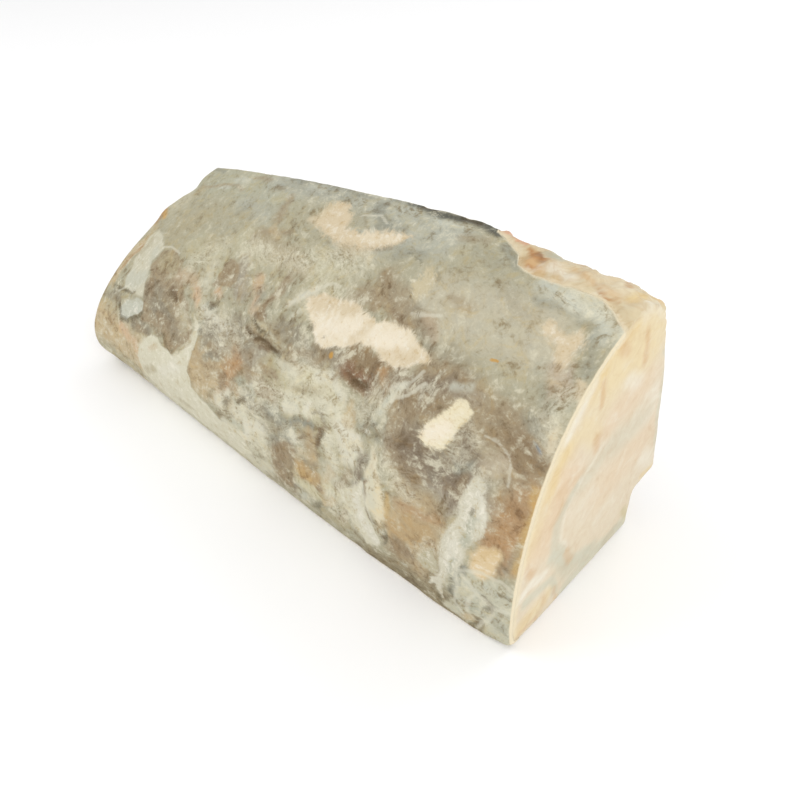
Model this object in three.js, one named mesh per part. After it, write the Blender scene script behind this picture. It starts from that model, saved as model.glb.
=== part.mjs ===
// Skin-on loin fillet of swordfish, lying on its flat lower cut. Millimetres, +Z up.
// +X is the wide cut end, -X the narrow end, -Y the skin and +Y the cut along the backbone.
import * as THREE from 'three';

const { lerp, smoothstep, degToRad } = THREE.MathUtils;

// Driving sizes. A pair holds the value at the narrow end, then at the wide end, and the
// stations between take their share of both. Inside a section, y runs inwards from the skin's
// foot at the wide end and z runs up from the lower cut.
const filletLength = 330;
const footInset = [4.3, -0.8];          // where the skin meets the lower cut
const ridgeHeight = [97.3, 157.4];      // where the skin would meet the back cut
const ridgeCrown = 8.7;                 // how much higher the ridge stands halfway along
const ridgeHump = { height: 0.6, at: 0.65, reach: 0.12 };
const footBow = { depth: 3.6, skew: 0.72 };   // how far the foot bulges out halfway along
const flankHandle = { inset: [-31.9, -16.5], height: [39, 105.2] };   // pulls the belly of the arc
const shoulderHandle = { inset: [44.6, 23.1], height: [81.7, 165.2] };
const backDistance = [127.3, 121.7];    // from the foot to the top of the spine's notch
const backLean = 0.277;                 // how far the back cut leans to the skin for each mm up
const notch = { depth: 20.8, height: 29.7, slope: 3, undercut: 2, radius: 3 };   // left by the backbone

// The bare top, where the skin was trimmed off near the wide end.
const trim = { depth: 5.8, from: 0.7, full: 0.78 };
const skinEdge = { inset: 90, widening: 32, from: 0.74, full: 1.02, leastBare: 4 };
const trimCrags = [
  { pitch: 21.4, start: 5.53, height: 0.58 },
  { pitch: 11, start: 2.1, height: 0.35 },
];

// Long, low swells of the skin. The slant turns a swell's crest across the arc.
const skinSwells = [
  { pitch: 107, slant: 5.1, start: 0, height: 0.5 },
  { pitch: 60, slant: -8.3, start: 1.3, height: 0.3 },
  { pitch: 195, slant: 14, start: 0.4, height: 0.25 },
];
const swellFade = 8;                    // how quickly the swells grow in from the foot and the ridge

// Rounded corners of the section, with the shares of the length where they grow.
const footRadius = { middle: 2.5, narrowEnd: 9.6, narrowUpTo: 0.08, wideEnd: 7.5, wideFrom: 0.95 };
const ridgeRadius = { middle: 2.5, trimmed: 11.4, from: 0.7, full: 0.9, wideEnd: 21.4, wideFrom: 0.94 };

// Rounded edges of the two end cuts. They change into each other over these shares of the
// skin's arc, the back and the base.
const narrowEdge = { cut: 1.5, skin: 2.6, foot: 9.6 };
const wideEdge = { cut: 1.3, ridge: 5.5, foot: 3.5 };
const edgeChange = { footUpTo: 0.1, ridgeFrom: 0.84, backUpTo: 0.35, baseFrom: 0.8 };
const narrowScallops = [
  { at: 0.853, depth: 4.6, reach: 0.05 },
  { at: 0.716, depth: -2.1, reach: 0.04 },
];
const edgeAngles = [0, 29, 60].map(degToRad);   // from the end cut's face round to the sides

// How many points each stretch of a section has, and how many stations lie along the fillet.
const steps = { arc: 30, ridge: 4, back: 8, notch: 1, base: 7, foot: 3 };
const stations = { whole: 24, trimmed: 26 };

const share = (pair, u) => lerp(pair[0], pair[1], u);
const hump = (x, middle, reach) => Math.exp(-(((x - middle) / reach) ** 2));
const positionAlong = (u) => (u - 0.5) * filletLength;

function skinSwell(x, s) {
  let height = 0;
  for (const swell of skinSwells) {
    height += swell.height * Math.sin((2 * Math.PI * x) / swell.pitch + swell.slant * s + swell.start);
  }
  return height * Math.min(1, swellFade * s, swellFade * (1 - s));
}

function trimDepth(x, u) {
  let depth = trim.depth;
  for (const crag of trimCrags) {
    depth += crag.height * Math.sin((2 * Math.PI * x) / crag.pitch + crag.start);
  }
  return depth * smoothstep(u, trim.from, trim.full);
}

// Points from a to b on a curve that heads for the corner, without a and b themselves.
function roundedCorner(a, corner, b, count) {
  const curve = new THREE.QuadraticBezierCurve(a, corner, b);
  return curve.getPoints(count + 1).slice(1, -1);
}

// A rounded corner between two straight stretches, with the points where it starts and ends.
function straightCorner(before, corner, after, radius) {
  const start = before.clone().sub(corner).setLength(radius).add(corner);
  const end = after.clone().sub(corner).setLength(radius).add(corner);
  return [start, ...roundedCorner(start, corner, end, steps.notch), end];
}

// One closed section, as points with the shares that the end cuts' rounded edges need:
// skin is 1 on the skin, foot near its lower edge and ridge near the top. s runs up the arc.
function sectionAt(u) {
  const x = positionAlong(u);
  const arch = 4 * u * (1 - u);
  const bow = footBow.depth * arch * (1 + footBow.skew * (2 * u - 1));
  const crown = ridgeCrown * arch;
  const ridgeTop = share(ridgeHeight, u) + crown + ridgeHump.height * hump(u, ridgeHump.at, ridgeHump.reach);
  const backAt = (z) => new THREE.Vector2(share(backDistance, u) - backLean * (z - notch.height), z);

  const foot = new THREE.Vector2(share(footInset, u) - bow, 0);
  const flank = new THREE.Vector2(share(flankHandle.inset, u) - bow, share(flankHandle.height, u));
  const shoulder = new THREE.Vector2(share(shoulderHandle.inset, u), share(shoulderHandle.height, u) + crown);
  const ridge = backAt(ridgeTop);
  const arc = new THREE.CubicBezierCurve(foot, flank, shoulder, ridge);

  const footRound = footRadius.middle
    + (footRadius.narrowEnd - footRadius.middle) * (1 - smoothstep(u, 0, footRadius.narrowUpTo))
    + (footRadius.wideEnd - footRadius.middle) * smoothstep(u, footRadius.wideFrom, 1);
  const ridgeRound = ridgeRadius.middle
    + (ridgeRadius.trimmed - ridgeRadius.middle) * smoothstep(u, ridgeRadius.from, ridgeRadius.full)
    + (ridgeRadius.wideEnd - ridgeRadius.trimmed) * smoothstep(u, ridgeRadius.wideFrom, 1);
  const firstS = footRound / arc.getLength();
  const lastS = 1 - ridgeRound / arc.getLength();

  const depth = trimDepth(x, u);
  const edgeInset = skinEdge.inset - skinEdge.widening * smoothstep(u, skinEdge.from, skinEdge.full);
  const loop = [];
  for (let i = 0; i < steps.arc; i += 1) {
    const s = lerp(firstS, lastS, i / (steps.arc - 1));
    const tangent = arc.getTangentAt(s);
    const point = arc.getPointAt(s);
    point.addScaledVector(new THREE.Vector2(-tangent.y, tangent.x), skinSwell(x, s));
    point.y -= depth * smoothstep(point.x, edgeInset, Math.max(ridge.x, edgeInset + skinEdge.leastBare));
    const nearFoot = 1 - smoothstep(s, 0, edgeChange.footUpTo);
    loop.push({ point, s, skin: 1, foot: nearFoot, ridge: smoothstep(s, edgeChange.ridgeFrom, 1) });
  }

  const corner = backAt(ridgeTop - depth);
  const downBack = new THREE.Vector2(backLean, -1).normalize();
  const backTop = corner.clone().addScaledVector(downBack, ridgeRound);
  for (const point of roundedCorner(loop.at(-1).point, corner, backTop, steps.ridge)) {
    loop.push({ point, skin: 1, foot: 0, ridge: 1 });
  }

  // Down the back cut, round the notch's three corners and back along the base.
  const backFoot = backAt(notch.height);
  const notchWall = new THREE.Vector2(backFoot.x - notch.depth, notch.height - notch.slope);
  const notchFoot = new THREE.Vector2(notchWall.x + notch.undercut, 0);
  const baseEnd = new THREE.Vector2(foot.x + footRound, 0);
  const corners = [
    ...straightCorner(backTop, backFoot, notchWall, notch.radius),
    ...straightCorner(backFoot, notchWall, notchFoot, notch.radius),
    ...straightCorner(notchWall, notchFoot, baseEnd, notch.radius),
  ];
  for (let i = 0; i < steps.back; i += 1) {
    const t = i / steps.back;
    const nearRidge = 1 - smoothstep(t, 0, edgeChange.backUpTo);
    loop.push({ point: backTop.clone().lerp(corners[0], t), skin: 0, foot: 0, ridge: nearRidge });
  }
  for (const point of corners) {
    loop.push({ point, skin: 0, foot: 0, ridge: 0 });
  }
  for (let i = 1; i < steps.base; i += 1) {
    const t = i / (steps.base - 1);
    const nearFoot = smoothstep(t, edgeChange.baseFrom, 1);
    loop.push({ point: corners.at(-1).clone().lerp(baseEnd, t), skin: 0, foot: nearFoot, ridge: 0 });
  }
  for (const point of roundedCorner(baseEnd, foot, loop[0].point, steps.foot)) {
    loop.push({ point, skin: 1, foot: 1, ridge: 0 });
  }
  return loop;
}

// The section's points moved into the solid by their own distances.
function insetPoints(loop, distances) {
  return loop.map(({ point }, i) => {
    const before = loop.at(i - 1).point;
    const after = loop[(i + 1) % loop.length].point;
    const inward = new THREE.Vector2(after.y - before.y, before.x - after.x).normalize();
    return point.clone().addScaledVector(inward, distances[i]);
  });
}

const ringAt = (points, xs) => points.map((p, i) => new THREE.Vector3(xs[i], p.x, p.y));

// Rings that carry a section round the edge of an end cut, the cut's own outline first.
function endRings(loop, edges, endX, direction, shifts) {
  return edgeAngles.map((angle) => {
    const points = insetPoints(loop, edges.map((edge) => edge * (1 - Math.sin(angle))));
    const xs = edges.map((edge, i) => endX - direction * (edge * (1 - Math.cos(angle)) + shifts[i]));
    return ringAt(points, xs);
  });
}

function narrowEndRings() {
  const loop = sectionAt(0);
  const edges = loop.map((p) => narrowEdge.cut + (narrowEdge.skin - narrowEdge.cut) * p.skin
    + (narrowEdge.foot - narrowEdge.skin) * p.foot);
  const scallops = loop.map((p) => {
    let depth = 0;
    for (const scallop of narrowScallops) {
      depth += p.s === undefined ? 0 : scallop.depth * hump(p.s, scallop.at, scallop.reach);
    }
    return depth;
  });
  return endRings(loop, edges, positionAlong(0), -1, scallops);
}

function wideEndRings() {
  const loop = sectionAt(1);
  const edges = loop.map((p) => wideEdge.cut + (wideEdge.ridge - wideEdge.cut) * p.ridge
    + (wideEdge.foot - wideEdge.cut) * p.foot);
  return endRings(loop, edges, positionAlong(1), 1, loop.map(() => 0)).reverse();
}

function middleRings() {
  const shares = [];
  for (let i = 1; i < stations.whole; i += 1) {
    shares.push((trim.from * i) / stations.whole);
  }
  for (let i = 0; i < stations.trimmed; i += 1) {
    shares.push(lerp(trim.from, 1, i / stations.trimmed));
  }
  return shares.map((u) => {
    const points = sectionAt(u).map((p) => p.point);
    return ringAt(points, points.map(() => positionAlong(u)));
  });
}

function filletGeometry() {
  const rings = [...narrowEndRings(), ...middleRings(), ...wideEndRings()];
  const count = rings[0].length;
  const triangles = [];
  for (let i = 0; i + 1 < rings.length; i += 1) {
    for (let j = 0; j < count; j += 1) {
      const next = (j + 1) % count;
      const a = i * count + j;
      const b = a + count;
      const c = (i + 1) * count + next;
      const d = i * count + next;
      triangles.push([a, b, c], [a, c, d]);
    }
  }

  // Each end cut is a fan round its middle, which sees the whole outline, the notch too.
  const ends = [rings[0], rings.at(-1)].map((ring, end) => {
    const middle = new THREE.Box3().setFromPoints(ring).getCenter(new THREE.Vector3());
    return middle.setX(positionAlong(end));
  });
  const wideStart = (rings.length - 1) * count;
  const middleIndex = rings.length * count;
  for (let j = 0; j < count; j += 1) {
    const next = (j + 1) % count;
    triangles.push([middleIndex, j, next], [middleIndex + 1, wideStart + next, wideStart + j]);
  }

  const geometry = new THREE.BufferGeometry().setFromPoints([...rings.flat(), ...ends]);
  geometry.setIndex(triangles.flat());

  // The origin is the middle of the lower cut.
  geometry.computeBoundingBox();
  const middle = geometry.boundingBox.getCenter(new THREE.Vector3());
  geometry.translate(-middle.x, -middle.y, -geometry.boundingBox.min.z);
  geometry.computeVertexNormals();
  return geometry;
}

const fish = new THREE.MeshStandardMaterial({ color: '#c3b89f', roughness: 0.5, metalness: 0 });
const fillet = new THREE.Mesh(filletGeometry(), fish);
fillet.name = 'fillet';

const part = new THREE.Group();
part.add(fillet);

export default part;
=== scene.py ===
# A skin-on loin fillet of swordfish on a pale floor: mottled, frosted skin over bare cut flesh.
# Shapes are worked out in millimetres and become metres when a mesh is made. +Z is up,
# +X the wide cut end, -Y the skin and +Y the cut along the backbone.
import math

import bpy
import numpy as np
from mathutils import Matrix, Vector


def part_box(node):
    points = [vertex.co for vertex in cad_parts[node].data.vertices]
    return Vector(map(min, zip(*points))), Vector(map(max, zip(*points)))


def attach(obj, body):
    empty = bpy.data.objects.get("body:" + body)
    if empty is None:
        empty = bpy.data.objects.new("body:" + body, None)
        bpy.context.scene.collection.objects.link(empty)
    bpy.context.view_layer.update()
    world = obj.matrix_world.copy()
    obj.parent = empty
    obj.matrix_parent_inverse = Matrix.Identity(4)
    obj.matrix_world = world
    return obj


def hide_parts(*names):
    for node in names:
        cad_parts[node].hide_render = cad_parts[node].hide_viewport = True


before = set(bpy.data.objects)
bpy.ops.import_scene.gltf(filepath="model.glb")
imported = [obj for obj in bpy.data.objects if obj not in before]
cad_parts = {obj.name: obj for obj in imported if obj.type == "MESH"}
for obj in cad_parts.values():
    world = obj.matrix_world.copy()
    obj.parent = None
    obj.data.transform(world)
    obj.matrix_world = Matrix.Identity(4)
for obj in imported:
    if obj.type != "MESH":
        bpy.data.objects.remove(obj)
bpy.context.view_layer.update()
millimetre = 0.001
studioShare = 0.87      # the studio is this much brighter than a surface that shows its own colour
sheen = 0.014           # what the surface's own soft shine adds to its paint
darkestPaint = 0.004

# The fillet's form, the same as the solid's. A pair holds the value at the narrow end, then at
# the wide end. In a section y runs inwards from the skin's foot and z up from the lower cut.
form = {
    "length": 330,
    "footInset": (4.3, -0.8),
    "ridgeHeight": (97.3, 157.4),
    "ridgeCrown": 8.7,
    "ridgeHump": {"height": 0.6, "at": 0.65, "reach": 0.12},
    "footBow": {"depth": 3.6, "skew": 0.72},
    "flankInset": (-31.9, -16.5),
    "flankHeight": (39, 105.2),
    "shoulderInset": (44.6, 23.1),
    "shoulderHeight": (81.7, 165.2),
    "backDistance": (127.3, 121.7),
    "backLean": 0.277,
    "notch": {"depth": 20.8, "height": 29.7, "slope": 3, "undercut": 2, "radius": 3},
    "trim": {"depth": 5.8, "start": 0.7, "full": 0.78},
    "trimEdge": {"inset": 90, "widening": 32, "start": 0.74, "full": 1.02, "leastBare": 4},
    "trimCrags": ((21.4, 5.53, 0.58), (11, 2.1, 0.35)),              # pitch, start, height
    "swells": ((107, 5.1, 0, 0.5), (60, -8.3, 1.3, 0.3), (195, 14, 0.4, 0.25)),   # and slant
    "swellFade": 8,
    "footRadius": {"middle": 2.5, "narrow": 9.6, "narrowUpTo": 0.08, "wide": 7.5, "wideFrom": 0.95},
    "ridgeRadius": {"middle": 2.5, "trimmed": 11.4, "start": 0.7, "full": 0.9,
                    "wide": 21.4, "wideFrom": 0.94},
    "narrowEdge": {"cut": 1.5, "skin": 2.6, "foot": 9.6},
    "wideEdge": {"cut": 1.3, "ridge": 5.5, "foot": 3.5},
    "scallops": ((0.853, 4.6, 0.05), (0.716, -2.1, 0.04)),           # at, depth, reach
    "scallopFade": 16,
    "footCorner": 0.1,          # up to this share of the arc its foot's rounding counts,
    "ridgeCorner": 0.84,        # and from this share on its ridge's
    "arcSteps": 400,
    "cornerSteps": 14,
    "stations": 42,
}


def smooth(value, low, high):
    t = np.clip((value - low) / (high - low), 0, 1)
    return t * t * (3 - 2 * t)


def share(pair, u):
    return pair[0] + (pair[1] - pair[0]) * u


def hump(value, middle, reach):
    return np.exp(-((value - middle) / reach) ** 2)


# Seeded noise from -1 to 1 on a lattice that repeats every 32 steps.
def valueNoise(points, pitch, seed):
    lattice = np.random.default_rng(seed).uniform(-1, 1, (32, 32, 32))
    scaled = np.asarray(points) / pitch
    cell = np.floor(scaled).astype(int)
    part = scaled - cell
    part = part * part * part * (part * (part * 6 - 15) + 10)
    total = np.zeros(len(scaled))
    for corner in np.ndindex(2, 2, 2):
        weight = np.prod([part[:, k] if corner[k] else 1 - part[:, k] for k in range(3)], axis=0)
        index = (cell + corner) % 32
        total += weight * lattice[index[:, 0], index[:, 1], index[:, 2]]
    return total


def layeredNoise(points, pitch, seed, layers=3):
    total = np.zeros(len(points))
    for layer in range(layers):
        total += valueNoise(points, pitch / 2 ** layer, seed + layer) / 2 ** layer
    return total / (2 - 2 / 2 ** layers)


def bezier(points, count):
    t = np.linspace(0, 1, count)[:, None]
    degree = len(points) - 1
    return sum(math.comb(degree, k) * (1 - t) ** (degree - k) * t ** k * np.array(p)
               for k, p in enumerate(points))


def runLengths(points):
    steps = np.linalg.norm(np.diff(points, axis=0), axis=1)
    return np.concatenate([[0], np.cumsum(steps)])


# The skin's side of one section, from the base round the foot, up the arc and over the ridge,
# with the height v up the arc at each point and the corners of the cut sides.
def sectionAt(u):
    x = (u - 0.5) * form["length"]
    arch = 4 * u * (1 - u)
    bow = form["footBow"]["depth"] * arch * (1 + form["footBow"]["skew"] * (2 * u - 1))
    crown = form["ridgeCrown"] * arch
    rise = form["ridgeHump"]
    ridgeTop = share(form["ridgeHeight"], u) + crown
    ridgeTop += rise["height"] * hump(u, rise["at"], rise["reach"])
    notch = form["notch"]

    def backAt(z):
        return np.array([share(form["backDistance"], u) - form["backLean"] * (z - notch["height"]), z])

    foot = np.array([share(form["footInset"], u) - bow, 0])
    flank = (share(form["flankInset"], u) - bow, share(form["flankHeight"], u))
    shoulder = (share(form["shoulderInset"], u), share(form["shoulderHeight"], u) + crown)
    ridge = backAt(ridgeTop)
    arc = bezier([foot, flank, shoulder, ridge], form["arcSteps"])
    lengths = runLengths(arc)
    s = lengths / lengths[-1]
    tangent = np.gradient(arc, axis=0)
    tangent /= np.linalg.norm(tangent, axis=1)[:, None]

    swell = sum(height * np.sin(2 * math.pi * x / pitch + slant * s + start)
                for pitch, slant, start, height in form["swells"])
    fade = form["swellFade"]
    swell = swell * np.minimum(1, np.minimum(fade * s, fade * (1 - s)))
    arc = arc + np.stack([-tangent[:, 1], tangent[:, 0]], axis=1) * swell[:, None]
    trim = form["trim"]
    depth = trim["depth"] + sum(height * math.sin(2 * math.pi * x / pitch + start)
                                for pitch, start, height in form["trimCrags"])
    depth *= smooth(u, trim["start"], trim["full"])
    edge = form["trimEdge"]
    inset = edge["inset"] - edge["widening"] * smooth(u, edge["start"], edge["full"])
    arc[:, 1] -= depth * smooth(arc[:, 0], inset, max(ridge[0], inset + edge["leastBare"]))

    foots = form["footRadius"]
    footRound = share((foots["middle"], foots["narrow"]), 1 - smooth(u, 0, foots["narrowUpTo"]))
    footRound += (foots["wide"] - foots["middle"]) * smooth(u, foots["wideFrom"], 1)
    ridges = form["ridgeRadius"]
    ridgeRound = share((ridges["middle"], ridges["trimmed"]), smooth(u, ridges["start"], ridges["full"]))
    ridgeRound += (ridges["wide"] - ridges["trimmed"]) * smooth(u, ridges["wideFrom"], 1)
    middle = (lengths > footRound) & (lengths < lengths[-1] - ridgeRound)
    arc = arc[middle]
    corner = backAt(ridgeTop - depth)
    downBack = np.array([form["backLean"], -1]) / math.hypot(form["backLean"], 1)
    backTop = corner + downBack * ridgeRound
    baseEnd = np.array([foot[0] + footRound, 0])
    footLine = bezier([baseEnd, foot, arc[0]], form["cornerSteps"])[:-1]
    ridgeLine = bezier([arc[-1], corner, backTop], form["cornerSteps"])[1:]
    v = np.concatenate([np.linspace(0, footRound, len(footLine)), lengths[middle],
                        np.linspace(lengths[-1] - ridgeRound, lengths[-1], len(ridgeLine))])
    backFoot = backAt(notch["height"])
    wall = np.array([backFoot[0] - notch["depth"], notch["height"] - notch["slope"]])
    return {
        "line": np.concatenate([footLine, arc, ridgeLine]), "v": v, "s": v / lengths[-1],
        "corners": [backTop, backFoot, wall, np.array([wall[0] + notch["undercut"], 0]), baseEnd],
    }


# How far a rounded edge draws the outline in, at a distance from the end cut.
def roundInset(radius, distance):
    left = np.clip(radius - distance, 0, None)
    return radius - np.sqrt(np.clip(radius ** 2 - left ** 2, 0, None))


# The rounding of both end cuts' edges, where a share of each point lies on the skin, at the foot
# and at the ridge.
def edgeInset(x, onSkin, atFoot, atRidge):
    narrow, wide = form["narrowEdge"], form["wideEdge"]
    narrowRadius = share((narrow["cut"], narrow["skin"]), onSkin)
    narrowRadius = narrowRadius + (narrow["foot"] - narrow["skin"]) * atFoot
    wideRadius = share((wide["cut"], wide["ridge"]), atRidge)
    wideRadius = wideRadius + (wide["foot"] - wide["cut"]) * atFoot
    half = form["length"] / 2
    return roundInset(narrowRadius, x + half) + roundInset(wideRadius, half - x)


# How near places up the arc are to its corners with the base and with the back cut.
def cornerShares(s):
    return 1 - smooth(s, 0, form["footCorner"]), smooth(s, form["ridgeCorner"], 1)


# How far the narrow end's scallops move points along the fillet.
def scallopAt(s, x):
    scallop = sum(depth * hump(s, at, reach) for at, depth, reach in form["scallops"])
    return scallop * (1 - smooth(x + form["length"] / 2, 0, form["scallopFade"]))


# Stations along the fillet: close together round the two ends' edges, even between.
def stationsAlong(spacing, edgeSteps, groups=1):
    half = form["length"] / 2
    turns = np.linspace(0, math.pi / 2, edgeSteps + 1)
    narrow = -half + form["narrowEdge"]["foot"] * (1 - np.cos(turns))
    wide = half - form["wideEdge"]["ridge"] * (1 - np.cos(turns))[::-1]
    count = int((wide[0] - narrow[-1]) / spacing)
    total = 2 * edgeSteps + count
    count += -total % groups
    return np.concatenate([narrow, np.linspace(narrow[-1], wide[0], count + 1)[1:-1], wide])


# Where the section's own coordinates lie in the frame.
cadLow, cadHigh = (np.array(corner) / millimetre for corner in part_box("fillet"))
sections = [sectionAt(u) for u in np.linspace(0, 1, form["stations"])]
lowestY = min(np.min(section["line"][:, 0]) for section in sections)
sideShift = cadLow[1] - lowestY
lengthShift = cadHigh[0] - form["length"] / 2


def toFrame(points):
    return (np.asarray(points) + (lengthShift, sideShift, 0)) * millimetre


def meshPiece(name, vertices, faces):
    mesh = bpy.data.meshes.new(name)
    mesh.from_pydata(vertices, [], faces)
    mesh.update()
    piece = bpy.data.objects.new(name, mesh)
    bpy.context.scene.collection.objects.link(piece)
    return piece


def storeField(piece, name, values):
    kind = "FLOAT_COLOR" if values.ndim == 2 else "FLOAT"
    attribute = piece.data.attributes.new(name, kind, "POINT")
    if values.ndim == 2:
        values = np.concatenate([values, np.ones((len(values), 1))], axis=1)
        attribute.data.foreach_set("color", values.astype(np.float32).ravel())
    else:
        attribute.data.foreach_set("value", values.astype(np.float32))


# The paint of a surface that shows as this screen colour, from 0 to 255, in the studio's light.
def screen(red, green, blue):
    values = np.array([red, green, blue]) / 255
    light = np.where(values <= 0.04045, values / 12.92, ((values + 0.055) / 1.055) ** 2.4)
    return np.clip(studioShare * light - sheen, darkestPaint, 1)


# 1 in the middle of a stroke along the path and 0 at its reach, falling on outside.
def strokeField(path, reach, places):
    path = np.array(path, float)
    ends = path[1:] if len(path) > 1 else path
    starts = path[:-1] if len(path) > 1 else path
    nearest = np.full(len(places), np.inf)
    for start, end in zip(starts, ends):
        along = end - start
        t = np.clip((places - start) @ along / max(along @ along, 1e-9), 0, 1)
        nearest = np.minimum(nearest, np.linalg.norm(places - start - t[:, None] * along, axis=1))
    return 1 - nearest / reach


def warpedPlaces(places, amounts, seed):
    flat = np.column_stack([places, np.zeros(len(places))])
    moved = places.astype(float).copy()
    for pitch, amount in amounts:
        moved[:, 0] += amount * valueNoise(flat, pitch, seed)
        moved[:, 1] += amount * valueNoise(flat, pitch, seed + 1)
        seed += 2
    return moved


# Places moved in narrow strips, up the arc or along the fillet, so that what is painted there
# runs in brush marks.
def brushedPlaces(places, upward, amount, seed):
    brush = skin["brush"]
    flat = np.zeros(len(places))
    strips = np.column_stack([places[:, 0], brush["shrink"] * places[:, 1], flat])
    rising = places[:, 1] - brush["slant"] * places[:, 0]
    bands = np.column_stack([brush["shrink"] * places[:, 0], rising, flat])
    moved = places.copy()
    moved[:, 1] += amount * upward * brush["up"] * valueNoise(strips, brush["pitch"], seed)
    sideways = amount * (1 - upward) * brush["along"]
    moved[:, 0] += sideways * valueNoise(bands, brush["pitch"], seed + 1)
    return moved


# Each stroke is a colour, its reach, its softness, its strength and its path. A stroke with no
# reach fills its path's closed outline, with its softness in millimetres. Wide strokes are looked
# up at the brushed places.
def paintStrokes(base, strokes, palette, places, brushed):
    colours = base.copy()
    for colour, reach, softness, strength, path in strokes:
        if reach:
            where = brushed if reach >= skin["brush"]["leastReach"] else places
            weight = smooth(strokeField(path, reach, where), 0, softness)
        else:
            weight = smooth(outlineField(path, places), -softness / 2, softness / 2)
        colours += (screen(*palette[colour]) - colours) * (strength * weight)[:, None]
    return colours


def strongestField(strokes, places):
    field = np.full(len(places), -1.0)
    for reach, path in strokes:
        field = np.maximum(field, strokeField(path, reach, places))
    return field


# Millimetres inside a closed outline, and less than 0 outside it.
def outlineField(outline, places):
    corners = np.array(outline, float)
    following = np.roll(corners, -1, axis=0)
    inside = np.zeros(len(places), bool)
    nearest = np.full(len(places), np.inf)
    for start, end in zip(corners, following):
        along = end - start
        t = np.clip((places - start) @ along / (along @ along), 0, 1)
        nearest = np.minimum(nearest, np.linalg.norm(places - start - t[:, None] * along, axis=1))
        crosses = (start[1] > places[:, 1]) != (end[1] > places[:, 1])
        reach = start[0] + (places[:, 1] - start[1]) * along[0] / (along[1] or 1)
        inside ^= crosses & (places[:, 0] < reach)
    return np.where(inside, nearest, -nearest)


# The skin. x runs along the fillet from its middle and v up the arc from the foot. A warp is
# pairs of a noise's pitch and how far it moves a place, and a lump its pitch, height and seed.
skin = {
    "spacing": 0.95,
    "edgeSteps": 9,
    "columns": 197,
    "thickness": 2.2,
    "borderThickness": 0.6,
    "bareEdge": ((76, 207), (80, 199), (92, 193.5), (100, 190), (104, 184), (115, 181.5),
                 (135, 183), (148, 182.5), (157, 178.5), (166, 172)),
    "edgeRaggedness": 0.9,
    "edgePitch": 9,
    "borderFade": 3,
    "bareFrom": (74, 84),
    "thinWithin": 4,
    "leastDepth": 0.8,
    "rim": {"wide": 0.6, "narrow": 1.6, "foot": 2, "footStart": 0.4, "bare": 2.2, "bareBack": 1.5},
    "lumps": ((17, 0.3, 50), (6.5, 0.2, 51), (2.6, 0.08, 52)),
    "frostLumps": ((5, 0.35, 56), (2.4, 0.22, 53)),
    "heights": {"cream": 0.45, "sheet": 0.3, "frost": 0.25, "crease": 0.6, "line": 0.15},
    "looseWarp": ((24, 2), (9, 1.6), (3.2, 0.8)),
    "closeWarp": ((12, 1.2), (4, 0.8)),
    "creaseWarp": ((3, 0.6),),
    "lineWarp": ((7, 0.8), (2.5, 0.3)),
    "brush": {"pitch": 2.3, "shrink": 0.15, "slant": 0.3, "up": 3, "along": 2.5, "fineShare": 0.35,
              "leastReach": 7},
    "palette": {
        "olive": (184, 182, 158), "greyBlue": (184, 184, 168), "greyTan": (198, 190, 166),
        # charcoal is painted shade for the ridge's edge.
        "slate": (150, 150, 136), "charcoal": (76, 78, 72), "beige": (181, 175, 149),
        "sand": (202, 195, 168), "umber": (166, 149, 121), "brown": (150, 129, 99),
        "oliveBrown": (140, 125, 94), "greyBrown": (152, 143, 123), "darkBrown": (122, 98, 72),
        "deepBrown": (96, 72, 48), "darkOlive": (104, 98, 74), "mauve": (168, 157, 139),
        "ochre": (193, 164, 119), "gold": (208, 174, 112), "rust": (184, 147, 106),
        "tan": (203, 183, 146), "oliveTan": (180, 168, 134), "warm": (188, 168, 134),
        "salmon": (220, 184, 150), "pale": (213, 208, 184), "paleGrey": (204, 204, 187),
        "frost": (219, 214, 193), "white": (229, 225, 207), "sheet": (222, 217, 193),
        "greenGrey": (182, 183, 163), "blue": (112, 130, 152), "orange": (212, 168, 94),
        "cream": (239, 226, 199), "brightCream": (247, 236, 214), "yellowCream": (239, 228, 196),
        "peach": (223, 206, 174), "dimPeach": (209, 197, 165), "roundPeach": (228, 205, 164),
        "straw": (194, 187, 156), "paleYellow": (214, 206, 172), "rosyTan": (197, 181, 157),
        "redBrown": (140, 104, 80), "warmSheet": (232, 221, 190), "cell": (202, 199, 176),
        "darkMauve": (128, 112, 94),
    },
}

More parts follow.
